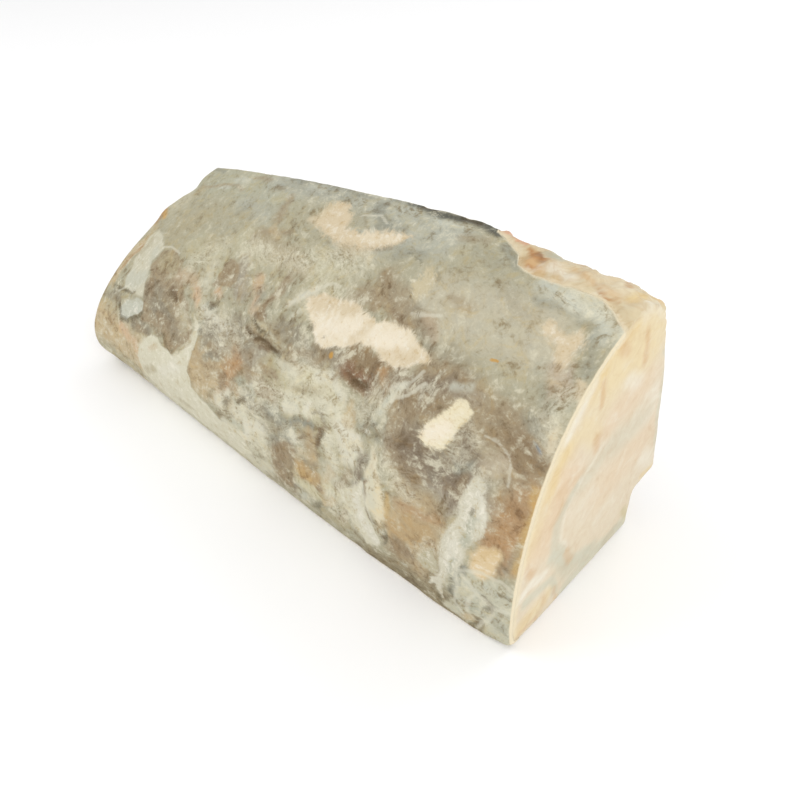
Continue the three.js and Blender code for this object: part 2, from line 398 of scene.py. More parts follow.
# Colour, reach, softness, strength and path, broad stains first. Reach 0 fills an outline.
skinPaint = (
    ("olive", 36, 0.8, 0.9, ((-150, 158), (-70, 170))),
    ("beige", 26, 0.8, 0.8, ((-140, 120), (-80, 136))),
    ("greyBlue", 20, 0.8, 0.9, ((-84, 176), (0, 187), (60, 184))),
    ("greyBlue", 16, 0.8, 0.8, ((10, 158), (64, 176))),
    ("greyTan", 26, 0.8, 0.9, ((84, 150), (134, 158))),
    ("straw", 16, 0.9, 0.8, ((-100, 110), (-68, 112))),
    ("straw", 17, 0.9, 0.85, ((-64, 130), (16, 136))),
    ("umber", 12, 0.9, 0.6, ((-52, 136), (-4, 133))),
    ("umber", 22, 0.8, 0.95, ((104, 112), (157, 118))),
    ("mauve", 16, 0.8, 0.95, ((98, 88), (140, 84))),
    ("warm", 23, 0.6, 0.95, ((107, 32), (115, 58))),
    ("oliveBrown", 24, 0.7, 0.95, ((90, 0), (134, 4))),
    ("rust", 17, 0.7, 0.9, ((154, 66), (163, 98))),
    ("warm", 24, 0.7, 0.95, ((-50, 54), (-22, 62))),
    ("mauve", 14, 0.8, 0.7, ((-50, 80), (8, 82))),
    ("tan", 20, 0.8, 0.95, ((-160, 38), (-112, 34))),
    ("oliveTan", 14, 0.8, 0.9, ((-165, 8), (-118, 10))),
    ("pale", 16, 0.8, 0.9, ((-104, 10), (24, 14))),
    ("sand", 15, 0.8, 0.9, ((-14, 38), (16, 42))),
    ("straw", 18, 0.8, 0.95, ((14, 80), (60, 76))),
    ("pale", 12, 0.8, 0.8, ((58, 46), (74, 30))),
    ("pale", 14, 0.8, 0.7, ((-20, 34), (4, 42))),
    ("sand", 10, 0.9, 0.9, ((-156, 126), (-150, 142))),
    ("pale", 9, 0.8, 0.7, ((-132, 8), (-70, 8))),
    ("sand", 9, 0.8, 0.8, ((-74, 106), (-64, 88))),
    ("pale", 5, 0.8, 0.6, ((-71, 108), (-66, 98))),
    # The narrow end: a worn border, tan stains and grey lobes.
    ("tan", 7, 0.7, 0.9, ((-160, 66), (-158, 104))),
    ("oliveTan", 6, 0.8, 0.6, ((-158, 104), (-152, 98))),
    ("rust", 3, 0.8, 0.6, ((-158, 74), (-156, 92))),
    ("greyBrown", 5, 0.8, 0.8, ((-150, 60), (-142, 57))),
    ("greyBrown", 4, 0.8, 0.7, ((-158, 56), (-150, 55))),
    ("salmon", 6, 0.9, 0.6, ((-133, 44), (-124, 40))),
    ("salmon", 7, 0.9, 0.5, ((-116, 40), (-110, 30))),
    ("warm", 5, 0.9, 0.7, ((-150, 30), (-144, 46))),
    ("greyBrown", 7, 0.7, 0.9, ((-118, 51), (-104, 53))),
    ("brown", 4, 0.8, 0.6, ((-114, 50), (-106, 50))),
    ("umber", 0, 2, 0.95, ((-130, 90), (-126, 97), (-116, 101), (-104, 98), (-97, 91), (-86, 86),
                           (-77, 84), (-73, 77), (-66, 73), (-64, 66), (-69, 60), (-72, 54), (-77, 50),
                           (-82, 52), (-86, 57), (-95, 54), (-103, 57), (-111, 55), (-116, 60),
                           (-115, 65), (-120, 69), (-123, 75), (-123, 80), (-129, 84))),
    ("oliveTan", 9, 0.8, 0.7, ((-120, 94), (-108, 92))),
    ("greyBrown", 11, 0.8, 0.95, ((-114, 74), (-92, 69))),
    ("greyBrown", 7, 0.8, 0.6, ((-92, 72), (-76, 62))),
    ("brown", 6, 0.8, 0.7, ((-116, 76), (-112, 72))),
    ("brown", 6, 0.8, 0.7, ((-94, 66), (-86, 64))),
    ("darkBrown", 2.2, 0.8, 0.8, ((-96, 82), (-92, 81.5), (-86, 80))),
    ("sand", 6, 0.9, 0.7, ((-78, 77), (-72, 70))),
    ("sand", 4, 0.9, 0.5, ((-106, 86), (-98, 90))),
    ("darkOlive", 2, 0.8, 0.45, ((-100, 58), (-92, 56.5), (-85, 58), (-79, 53), (-74, 54))),
    ("darkOlive", 2.2, 0.8, 0.55, ((-140, 56), (-136, 49), (-127, 49), (-119, 55), (-112, 60))),
    ("darkOlive", 2, 0.8, 0.5, ((-156, 63), (-142, 64), (-128, 68))),
    ("salmon", 6, 0.9, 0.6, ((-73, 92), (-68, 88))),
    ("salmon", 4, 0.9, 0.6, ((-55, 98), (-51, 96))),
    ("salmon", 8, 0.9, 0.35, ((-94, 92), (-80, 94))),
    ("slate", 3, 0.8, 0.7, ((-57, 89), (-51, 89))),
    ("darkBrown", 1.2, 0.8, 0.6, ((-55, 90.5), (-51, 91))),
    ("oliveBrown", 1.6, 0.8, 0.6, ((-53, 94), (-51, 94))),
    ("slate", 2.4, 0.8, 0.8, ((-58, 77), (-55, 79))),
    ("slate", 4, 0.8, 0.5, ((-61, 70), (-56, 74))),
    ("white", 3, 0.8, 0.6, ((-60, 86), (-40, 85), (-26, 87))),
    # Warm stains along the flank.
    ("tan", 10, 0.9, 0.7, ((-54, 50), (-44, 42))),
    ("greyBrown", 7, 0.8, 0.8, ((-48, 74), (-43, 78))),
    ("greyBrown", 5, 0.8, 0.6, ((-54, 74), (-50, 68))),
    ("brown", 3, 0.8, 0.6, ((-46, 69), (-42, 71))),
    ("slate", 4, 0.8, 0.6, ((-45, 61), (-40, 65))),
    ("slate", 3, 0.8, 0.6, ((-38, 65), (-33, 67))),
    ("brown", 3, 0.8, 0.7, ((-36, 71), (-29, 71))),
    ("rust", 9, 0.8, 0.85, ((-27, 54), (-16, 72))),
    ("umber", 5, 0.8, 0.8, ((-20, 56), (-13, 64))),
    ("greyBrown", 5, 0.8, 0.7, ((-42, 66), (-34, 70))),
    ("brown", 5, 0.8, 0.8, ((-30, 56), (-25, 62))),
    ("brown", 3, 0.8, 0.7, ((-18, 62), (-14, 68))),
    ("tan", 4, 0.8, 0.8, ((-38, 50), (-33, 56))),
    ("oliveBrown", 2.4, 0.8, 0.6, ((-38, 42), (-34, 49))),
    ("oliveBrown", 4, 0.8, 0.6, ((-29, 79), (-21, 81))),
    ("umber", 5, 0.8, 0.8, ((-26, 84), (-8, 83))),
    ("rust", 5, 0.8, 0.5, ((-20, 78), (-12, 74))),
    ("greenGrey", 8, 0.8, 0.8, ((-10, 66), (2, 62))),
    ("greenGrey", 5, 0.8, 0.7, ((-14, 52), (-6, 48))),
    ("frost", 5, 0.7, 0.9, ((-30, 43), (-27, 50), (-22, 54))),
    ("frost", 8, 0.8, 0.7, ((-14, 42), (-2, 56))),
    ("white", 8, 0.8, 0.8, ((-26, 28), (-18, 24), (-6, 36))),
    ("white", 5, 0.8, 0.6, ((-4, 40), (8, 47))),
    ("greenGrey", 4, 0.8, 0.7, ((-18, 38), (-11, 38))),
    ("oliveBrown", 2, 0.8, 0.75, ((-20.5, 50), (-16.5, 56))),
    ("oliveBrown", 2, 0.8, 0.75, ((-13, 52), (-7, 57))),
    ("oliveBrown", 2, 0.8, 0.7, ((-4, 49.5), (1, 51))),
    ("oliveBrown", 2.4, 0.8, 0.7, ((-25, 48), (-23, 43), (-17, 41))),
    ("oliveBrown", 3, 0.8, 0.6, ((-29, 35), (-22, 38))),
    ("oliveBrown", 3, 0.8, 0.6, ((-32, 29), (-29, 35))),
    ("oliveBrown", 2.4, 0.8, 0.7, ((-14, 70), (-9, 72.5))),
    ("oliveBrown", 3, 0.8, 0.7, ((-9, 65), (-4, 63))),
    ("oliveBrown", 2.6, 0.8, 0.6, ((-4, 21), (3, 26), (11, 30))),
    ("white", 2.2, 0.8, 0.7, ((-8, 72), (-5, 73))),
    ("white", 2.2, 0.8, 0.6, ((-6, 67), (-2, 69))),
    ("frost", 3.4, 0.8, 0.7, ((-11, 59), (-5, 61))),
    ("pale", 3, 0.8, 0.7, ((3, 61), (9, 64))),
    ("oliveTan", 4, 0.8, 0.7, ((-70, 16), (-50, 18))),
    ("oliveTan", 5, 0.8, 0.7, ((-104, 24), (-96, 32))),
    # The square brown stain, and the crevices at the middle, whose dark lines are partly a dark stain and
    # partly painted shade in the crevices.
    ("mauve", 9, 0.8, 0.8, ((-48, 120), (-36, 106))),
    ("umber", 0, 1.2, 0.95, ((-62.5, 100), (-62.5, 116.5), (-56, 117.5), (-46, 117), (-44, 110), (-45, 103),
                             (-52, 100))),
    ("brown", 5, 0.8, 0.6, ((-58, 108), (-51, 112))),
    ("greyBrown", 9, 0.8, 0.9, ((-28, 91), (-16, 88))),
    ("salmon", 7, 0.8, 0.5, ((-28, 116), (-20, 104))),
    ("slate", 3, 0.8, 0.5, ((-24, 110), (-18, 112), (-20, 104))),
    ("umber", 5, 0.8, 0.9, ((-13, 100), (-11, 112), (-8, 124))),
    ("brown", 3.4, 0.8, 0.8, ((-15, 101), (-12, 110))),
    ("darkBrown", 3, 0.8, 0.7, ((-17, 100), (-9, 103))),
    ("umber", 8, 0.8, 0.6, ((-14, 96), (6, 98))),
    ("brown", 4, 0.8, 0.7, ((-17, 92), (4, 90))),
    ("deepBrown", 1.5, 0.8, 0.85, ((-18, 92.5), (-12, 90.5), (-6, 92), (1, 91), (11, 91))),
    ("darkOlive", 1.4, 0.8, 0.6, ((-16, 97), (-8, 95), (2, 97))),
    ("sand", 1.6, 0.8, 0.7, ((-14, 98.5), (-2, 98), (6, 95))),
    ("darkBrown", 1.6, 0.8, 0.6, ((-4, 88), (3, 89.5))),
    ("greyBrown", 8, 0.7, 0.9, ((8, 104), (30, 99))),
    ("brown", 2.4, 0.8, 0.8, ((13, 97.5), (18, 95), (24, 91.8), (31, 92.5))),
    ("umber", 4, 0.8, 0.7, ((20, 97), (36, 99))),
    ("white", 3, 0.8, 0.7, ((2, 113), (8, 120), (14, 128))),
    ("pale", 2, 0.8, 0.7, ((8, 110), (16, 120))),
    ("pale", 1.4, 0.8, 0.7, ((-56, 119), (-55, 124))),
    ("pale", 1.4, 0.8, 0.7, ((-51, 119), (-49, 124))),
    ("pale", 1.4, 0.8, 0.6, ((-46, 119), (-45, 123))),
    # The dark blotch under the cream patch, and stains round it.
    ("brown", 15, 0.8, 0.85, ((38, 108), (80, 112))),
    ("umber", 8, 0.8, 0.9, ((52, 138), (86, 138))),
    ("brown", 0, 5, 0.9, ((36, 102), (46, 108), (52, 113), (60, 117), (69, 119), (79, 117), (81, 111),
                          (76, 104), (68, 98), (55, 97), (45, 100))),
    ("darkBrown", 6, 0.8, 0.85, ((50, 101), (61, 105), (72, 107))),
    ("redBrown", 7, 0.8, 0.75, ((49, 102), (60, 105), (68, 103))),
    ("deepBrown", 4, 0.8, 0.65, ((57, 103), (69, 102))),
    ("darkBrown", 5, 0.8, 0.5, ((70, 110), (72, 116))),
    ("rust", 4, 0.8, 0.7, ((76, 113), (79, 108))),
    ("darkBrown", 2, 0.8, 0.8, ((78, 111), (79, 105))),
    ("pale", 1.2, 0.8, 0.7, ((62, 105), (63.4, 104))),
    ("brown", 5, 0.8, 0.6, ((54, 115), (64, 114))),
    ("greyBrown", 10, 0.8, 0.8, ((38, 112), (46, 104))),
    ("umber", 9, 0.8, 0.8, ((38, 135), (50, 137))),
    ("brown", 10, 0.8, 0.8, ((94, 104), (104, 114))),
    ("brown", 8, 0.8, 0.8, ((86, 112), (99, 118))),
    ("darkBrown", 6, 0.9, 0.5, ((92, 108), (98, 100))),
    ("darkMauve", 8, 0.8, 0.5, ((84, 113), (104, 118))),
    ("brown", 9, 0.8, 0.8, ((104, 92), (112, 88))),
    ("umber", 10, 0.8, 0.8, ((96, 126), (122, 124))),
    ("greyBrown", 8, 0.8, 0.5, ((104, 134), (116, 132))),
    ("darkMauve", 8, 0.8, 0.65, ((100, 117), (112, 122))),
    ("umber", 10, 0.8, 0.7, ((50, 148), (66, 144))),
    ("brown", 5, 0.9, 0.6, ((48, 149), (56, 145))),
    ("tan", 8, 0.9, 0.6, ((10, 154), (28, 156))),
    ("brown", 4, 0.9, 0.5, ((26, 160), (36, 162))),
    ("umber", 6, 0.9, 0.6, ((92, 154), (99, 153))),
    ("salmon", 5, 0.9, 0.35, ((86, 140), (92, 136))),
    ("greyBrown", 8, 0.8, 0.5, ((78, 140), (92, 134))),
    ("sand", 8, 0.9, 0.4, ((112, 152), (124, 152))),
    ("umber", 3.4, 0.8, 0.8, ((64, 135.5), (80, 135.5))),
    ("darkBrown", 1.4, 0.8, 0.5, ((66, 135), (72, 136.5), (79, 135))),
    ("oliveBrown", 2.6, 0.9, 0.5, ((74, 164), (76, 160))),
    ("oliveBrown", 1.6, 0.9, 0.7, ((109, 131), (113, 133.5))),
    ("oliveBrown", 1.6, 0.9, 0.7, ((117, 121), (123, 123))),
    ("brown", 4, 0.9, 0.6, ((110, 129), (120, 126))),
    ("paleGrey", 3, 0.8, 0.7, ((112, 121), (121, 126))),
    ("darkOlive", 1.4, 0.8, 0.6, ((50, 164), (63, 161))),
    # The frosty mass and what shows through below it.
    ("paleYellow", 8, 0.8, 0.9, ((26, 87), (38, 90), (54, 86))),
    ("frost", 5, 0.8, 0.9, ((38, 92), (47, 95), (54, 91))),
    ("umber", 4, 0.8, 0.6, ((12, 93), (26, 90))),
    ("frost", 4, 0.8, 0.6, ((14, 88), (24, 87))),
    ("pale", 9, 0.8, 0.9, ((44, 81), (58, 80), (70, 76))),
    ("frost", 0, 4, 0.95, ((56, 74), (60, 80), (68, 81), (76, 79), (75, 72), (71, 64), (66, 61), (62, 66))),
    ("white", 5, 0.8, 0.8, ((62, 80), (72, 77))),
    ("white", 4, 0.8, 0.6, ((66, 70), (69, 66))),
    ("pale", 7, 0.8, 0.8, ((22, 74), (34, 78))),
    ("frost", 4, 0.8, 0.9, ((23, 69), (30, 71))),
    ("white", 2.8, 0.8, 0.9, ((36, 73), (38, 77))),
    ("paleGrey", 4, 0.8, 0.8, ((11, 69), (15, 66))),
    ("tan", 5, 0.8, 0.8, ((62, 91), (64, 84))),
    ("warm", 3, 0.8, 0.8, ((67, 90), (68, 84))),
    ("oliveTan", 5, 0.8, 0.7, ((34, 84), (44, 87))),
    ("oliveTan", 5, 0.8, 0.8, ((8, 83), (16, 77))),
    ("sand", 5, 0.8, 0.8, ((24, 84), (34, 82))),
    ("oliveBrown", 1.4, 0.8, 0.5, ((26, 82), (34, 81))),
    ("slate", 0, 4, 0.7, ((71, 90), (76, 94), (84, 91), (89, 87), (85, 82), (77, 82), (72, 85))),
    ("oliveBrown", 2, 0.8, 0.7, ((82, 89), (87, 87.5))),
    ("oliveBrown", 1.6, 0.8, 0.7, ((75, 84), (77, 89))),
    ("white", 2, 0.8, 0.8, ((77, 85), (79, 84))),
    ("brown", 2.2, 0.8, 0.8, ((47, 95), (50, 98))),
    ("greyBrown", 5, 0.8, 0.5, ((70, 96), (76, 96))),
    ("umber", 3, 0.8, 0.8, ((2, 80), (11, 81))),
    ("umber", 8, 0.8, 0.9, ((-6, 74), (10, 70))),
    ("brown", 2.4, 0.8, 0.7, ((0, 70), (9, 72), (18, 73))),
    ("umber", 3.4, 0.8, 0.8, ((2, 66), (10, 68))),
    ("oliveBrown", 1.8, 0.8, 0.7, ((8, 59), (14, 60), (20, 61))),
    ("greyBrown", 7, 0.8, 0.7, ((-6, 58), (22, 58))),
    ("slate", 8, 0.8, 0.75, ((14, 62), (28, 58))),
    ("greyBrown", 7, 0.8, 0.6, ((12, 48), (26, 52))),
    ("oliveBrown", 1.6, 0.8, 0.6, ((19, 52), (23, 56))),
    ("slate", 5, 0.7, 0.95, ((30, 63), (36, 66), (42, 67))),
    ("oliveBrown", 3, 0.8, 0.7, ((31, 62), (36, 64))),
    ("frost", 3.4, 0.7, 0.95, ((29, 53), (30, 58), (34, 55))),
    ("brown", 5, 0.8, 0.6, ((38, 58), (45, 55))),
    ("warm", 5, 0.8, 0.8, ((43, 63), (47, 50))),
    ("brown", 1.8, 0.8, 0.8, ((39, 69), (40, 73))),
    ("greyBrown", 1.8, 0.8, 0.8, ((42, 74), (46, 76.5), (50, 73))),
    ("darkBrown", 2.4, 0.8, 0.85, ((48, 61), (49, 67), (52, 70.5))),
    ("pale", 5, 0.8, 0.9, ((54, 68), (59, 58))),
    ("slate", 7, 0.8, 0.8, ((16, 40), (26, 50))),
    ("brown", 8, 0.8, 0.5, ((17, 37), (27, 43))),
    ("umber", 0, 4, 0.95, ((12, 10), (14, 24), (16, 38), (24, 48), (36, 48), (33, 38), (31, 28), (30, 18),
                           (27, 10))),
    ("brown", 7, 0.8, 0.7, ((18, 30), (22, 42), (30, 47))),
    ("brown", 5, 0.8, 0.6, ((20, 14), (24, 26))),
    ("oliveBrown", 3, 0.8, 0.6, ((25, 22), (29, 33))),
    ("greyBrown", 2.4, 0.8, 0.8, ((26, 14), (30, 20))),
    ("ochre", 0, 4, 0.9, ((32, 38), (36, 43), (47, 45), (53, 40), (54, 33), (50, 29), (42, 30), (35, 31))),
    ("brown", 4, 0.8, 0.5, ((38, 45), (48, 47))),
    ("gold", 4, 0.8, 0.6, ((34, 35), (42, 37))),
    ("tan", 4, 0.8, 0.6, ((38, 50), (46, 52))),
    ("paleYellow", 4, 0.8, 0.6, ((42, 31), (50, 29))),
    ("brown", 3, 0.8, 0.8, ((49, 31), (51, 38))),
    ("dimPeach", 4, 0.8, 0.8, ((33, 31), (37, 26))),
    ("tan", 4, 0.8, 0.9, ((52, 24), (58, 32))),
    ("paleYellow", 6, 0.8, 0.9, ((36, 26), (48, 27))),
    ("paleYellow", 5, 0.8, 0.8, ((54, 40), (62, 40), (66, 46))),
    ("tan", 4, 0.8, 0.7, ((54, 44), (58, 52))),
    ("darkOlive", 0, 4, 0.6, ((41, 13), (44, 19), (49, 24), (51, 22), (48, 16), (45, 11))),
    ("paleGrey", 4, 0.8, 0.7, ((33, 12), (38, 18))),
    ("umber", 4, 0.8, 0.8, ((62, 18), (68, 28))),
    ("oliveTan", 5, 0.8, 0.8, ((52, 14), (66, 16))),
    ("oliveBrown", 7, 0.8, 0.6, ((8, 7), (28, 10))),
    ("umber", 4, 0.8, 0.8, ((62, 44), (66, 50), (70, 59))),
    ("mauve", 3, 0.8, 0.8, ((71, 49), (75, 57))),
    ("greyBrown", 0, 2, 0.9, ((81, 76), (77, 75), (75, 68), (70, 60), (75, 59), (80, 62))),
    ("darkMauve", 2.4, 0.8, 0.8, ((76, 73), (75, 62), (79, 58))),
    ("slate", 2.4, 0.8, 0.7, ((80, 60), (79, 52))),
    ("umber", 11, 0.7, 0.95, ((98, 84), (106, 78))),
    ("warmSheet", 0, 3, 1, ((83, 78), (88, 77), (92, 64), (96, 52), (95, 44), (89, 38), (84, 46), (81, 56),
                           (80, 66))),
    ("tan", 2.4, 0.8, 0.6, ((85, 77), (84, 68))),
    ("sheet", 5, 0.8, 0.8, ((84, 68), (87, 48))),
    ("umber", 9, 0.7, 0.95, ((92, 100), (102, 92))),
    ("darkBrown", 1.8, 0.9, 0.9, ((81, 60), (82, 46), (85.5, 36), (91, 27))),
    ("gold", 3, 0.8, 0.7, ((96, 60), (96, 46))),
    ("pale", 5, 0.8, 0.8, ((88, 30), (94, 36))),
    ("sheet", 3, 0.8, 0.8, ((84, 32), (90, 36))),
    ("darkOlive", 2, 0.9, 0.7, ((91, 25), (94, 30), (95, 35))),
    ("paleGrey", 3, 0.8, 0.8, ((82, 98), (85, 106), (89, 114))),
    ("frost", 1.8, 0.8, 0.8, ((86, 103), (90, 112))),
    # Ochre stains on the lower flank near the wide cut.
    ("rust", 6, 0.9, 0.6, ((104, 58), (124, 66))),
    ("tan", 5, 0.9, 0.6, ((98, 50), (104, 56))),
    ("ochre", 12, 0.7, 0.75, ((104, 42), (116, 50))),
    ("brown", 9, 0.9, 0.9, ((98, 24), (108, 32))),
    ("pale", 2, 0.8, 0.7, ((104, 18), (105, 21))),
    ("sand", 1.8, 0.8, 0.7, ((113, 13), (114, 16))),
    ("oliveBrown", 5, 0.8, 0.8, ((122, 22), (127, 36))),
    ("darkOlive", 2.4, 0.9, 0.6, ((126, 12), (128, 4))),
    ("brown", 6, 0.9, 0.5, ((118, 74), (126, 68))),
    ("slate", 6, 0.8, 0.8, ((114, 94), (118, 86))),
    ("mauve", 8, 0.7, 0.7, ((126, 84), (128, 76))),
    ("greyBrown", 9, 0.8, 0.8, ((106, 90), (128, 90))),
    ("darkMauve", 13, 0.9, 0.75, ((102, 88), (136, 86))),
    ("darkMauve", 8, 0.8, 0.7, ((126, 102), (136, 98))),
    ("darkMauve", 7, 0.8, 0.7, ((126, 94), (130, 80))),
    ("brown", 3, 0.8, 0.6, ((130, 92), (132, 80))),
    ("slate", 5, 0.8, 0.8, ((133, 96), (126, 92))),
    ("darkMauve", 9, 0.8, 0.6, ((101, 93), (110, 97))),
    ("darkMauve", 12, 0.9, 0.3, ((106, 112), (130, 102))),
    ("rosyTan", 8, 0.9, 0.6, ((142, 99), (148, 106))),
    ("warm", 8, 0.8, 0.6, ((104, 70), (118, 70))),
    ("umber", 7, 0.8, 0.8, ((152, 98), (158, 104))),
    ("mauve", 5, 0.8, 0.5, ((118, 121), (126, 123))),
    ("brown", 13, 0.9, 0.7, ((144, 118), (158, 114))),
    ("darkBrown", 6, 0.8, 0.45, ((150, 119), (162, 116))),
    ("darkBrown", 5, 0.9, 0.3, ((150, 88), (162, 92))),
    ("darkBrown", 4, 0.9, 0.4, ((148, 110), (156, 108))),
    ("gold", 4, 0.9, 0.7, ((164, 62), (164, 104))),
    ("blue", 1.5, 0.8, 0.9, ((159.5, 120),)),
    ("brown", 2.4, 0.6, 0.8, ((155, 52), (156.5, 63))),
    ("rust", 5, 0.8, 0.7, ((147, 69), (156, 70))),
    # Veined cells in the corner by the wide cut.
    ("cell", 0, 3, 1, ((133, 40), (138, 46), (144, 46), (150, 49), (158, 51), (166, 48), (166, 2),
                            (128, 4), (131, 22))),
    ("slate", 3.4, 0.8, 0.9, ((132, 22), (135, 34), (140, 46))),
    ("slate", 3, 0.8, 0.5, ((158, 42), (162, 44))),
    ("greenGrey", 4, 0.8, 0.8, ((144, 30), (144, 18))),
    ("slate", 6, 0.8, 0.4, ((157, 20), (162, 14))),
    ("paleGrey", 4, 0.8, 0.6, ((143, 36), (141, 20))),
    ("paleGrey", 3, 0.8, 0.6, ((149, 42), (158, 39))),
    ("oliveBrown", 0, 1.6, 0.9, ((149, 32), (152, 32), (155, 28), (155, 24), (152, 22), (153, 27))),
    ("oliveBrown", 0, 2, 0.85, ((144, 14), (150, 15), (152, 19), (150, 10), (148, 3), (145, 4))),
    ("darkOlive", 1.6, 0.9, 0.6, ((133, 34), (131, 22), (134, 14))),
    ("tan", 4, 0.8, 0.8, ((139, 6), (143, 10))),
    ("slate", 3, 0.8, 0.45, ((160, 58), (163, 74))),
    # The upper side.
    ("umber", 5, 1, 0.8, ((-59, 166), (-54, 156), (-48, 149))),
    ("umber", 4, 1, 0.8, ((-52, 140), (-40, 143), (-32, 147))),
    ("tan", 4, 0.9, 0.5, ((-48, 144), (-38, 140))),
    ("oliveBrown", 1.8, 0.9, 0.6, ((-35, 153), (-34, 148), (-27, 144))),
    ("umber", 3, 1, 0.7, ((-156, 147), (-142, 150), (-131, 157), (-118, 159), (-106, 156))),
    ("paleGrey", 4, 0.9, 0.9, ((-130, 154), (-124, 155))),
    ("paleGrey", 6, 0.9, 0.8, ((-122, 165), (-112, 166))),
    ("slate", 4, 1, 0.7, ((-160, 166), (-150, 165))),
    ("umber", 4, 1, 0.7, ((-110, 171), (-94, 170))),
    ("oliveBrown", 3.4, 1, 0.7, ((-78, 169), (-70, 170.5))),
    ("slate", 4, 1, 0.5, ((-88, 142), (-84, 152))),
    ("greyBlue", 12, 0.9, 0.6, ((-90, 152), (-62, 150))),
    ("oliveTan", 8, 0.9, 0.7, ((-152, 146), (-146, 142))),
    ("oliveTan", 14, 0.9, 0.5, ((-134, 112), (-116, 128))),
    ("oliveTan", 8, 0.8, 0.5, ((-94, 118), (-84, 116))),
    ("slate", 3, 0.8, 0.8, ((-74, 180), (-40, 184), (-6, 189), (20, 192))),
    ("slate", 10, 0.9, 0.35, ((-70, 176), (-18, 181))),
    ("paleGrey", 4, 0.9, 0.5, ((-52, 178), (-40, 178))),
    ("slate", 0, 4, 0.8, ((4, 187), (13, 187), (17, 181), (30, 178), (28, 174), (16, 175), (5, 178))),
    ("oliveBrown", 1.4, 0.8, 0.5, ((2, 177), (12, 172), (20, 167))),
    ("paleGrey", 5, 0.9, 0.7, ((-4, 192), (8, 192))),
    ("slate", 6, 0.8, 0.6, ((24, 172), (34, 176))),
    ("slate", 6, 0.8, 0.5, ((44, 160), (58, 166))),
    ("slate", 7, 0.8, 0.3, ((84, 182), (98, 178))),
    # A dark strip along the skin at the ridge's edge: painted shade where the skin turns over the ridge.
    ("charcoal", 6, 0.8, 0.95, ((24, 194), (60, 199.5), (82, 197))),
    ("paleGrey", 4, 0.9, 0.8, ((46, 190), (66, 191))),
    ("brown", 5, 0.9, 0.4, ((70, 184), (80, 188))),
    ("slate", 4, 0.9, 0.7, ((92, 189), (104, 182))),
    ("slate", 5, 0.9, 0.5, ((124, 170), (140, 172), (150, 170))),
    ("greyBrown", 7, 0.9, 0.3, ((108, 170), (122, 160))),
    ("paleGrey", 8, 0.9, 0.9, ((120, 179), (162, 172))),
    ("pale", 4, 0.9, 0.7, ((126, 182), (150, 180), (163, 171))),
    ("slate", 6, 0.8, 0.5, ((155, 166), (161, 156))),
    ("slate", 5, 0.8, 0.4, ((150, 140), (156, 134))),
    ("slate", 6, 0.8, 0.6, ((150, 128), (158, 126))),
    ("umber", 5, 0.8, 0.5, ((142, 124), (150, 122))),
    ("peach", 4, 0.7, 0.8, ((162, 148), (164, 142))),
    ("rosyTan", 8, 0.8, 0.9, ((149, 150), (156, 143))),
    ("peach", 6, 0.8, 0.7, ((-26, 160), (-19, 159))),
    ("peach", 3, 0.7, 0.7, ((163, 130), (164, 124))),
    ("orange", 4, 0.8, 0.9, ((-163, 119), (-159, 117))),
    ("rust", 3, 0.8, 0.7, ((-164, 126), (-162, 108))),
)

# Places where the dark outer skin is gone, with a pale or frosted layer showing: colour,
# softness of the edge in millimetres, raggedness of it, and outline.
bareCream = (
    ("peach", 3.4, 0.7, ((-27, 164), (-27, 172), (-20, 176), (-13, 179), (-4, 172), (1, 164), (10, 164),
                         (19, 168), (27, 172), (37, 174), (45, 175), (43, 170), (37, 165), (31, 160),
                         (23, 157), (14, 155), (3, 153), (-7, 154), (-19, 157))),
    ("cream", 2, 0.7, ((13, 119), (10, 123), (16, 127), (22, 129), (32, 130), (41, 132), (48, 132),
                       (53, 130.5), (59, 129.5), (61, 131), (64, 132), (69, 133), (76, 133), (79, 135),
                       (84, 132), (92, 130), (97, 127), (92, 123.5), (85, 120), (80, 117.5), (73, 116),
                       (68, 118), (60, 117), (54, 117), (48, 111), (41, 108), (36, 106), (31, 107),
                       (25, 110), (21, 114))),
    ("yellowCream", 1.7, 0.9, ((105.5, 98.5), (107, 104), (110, 109), (114, 115), (117, 119.5),
                               (120, 121), (125, 118.5), (124, 112.5), (121.5, 107), (119, 101),
                               (117, 96), (113, 94.5), (109, 96))),
    ("peach", 3, 0.6, ((134, 163), (135, 165), (138, 165), (141, 163), (146, 161), (148, 164), (150, 167),
                       (153, 165), (154, 161), (152, 158), (152, 154), (151, 150), (147, 151), (144, 155),
                       (140, 158), (136, 159))),
    ("dimPeach", 3.6, 1, ((66, 152), (67, 158), (68, 162), (73, 162), (75, 158), (76, 152), (73, 148),
                          (69, 148))),
    ("roundPeach", 2.4, 0.3, ((141, 50), (142, 58), (146, 64), (152, 67), (156, 66), (156, 62), (154, 57),
                              (154, 53), (153, 49), (149, 45), (144, 46))),
)
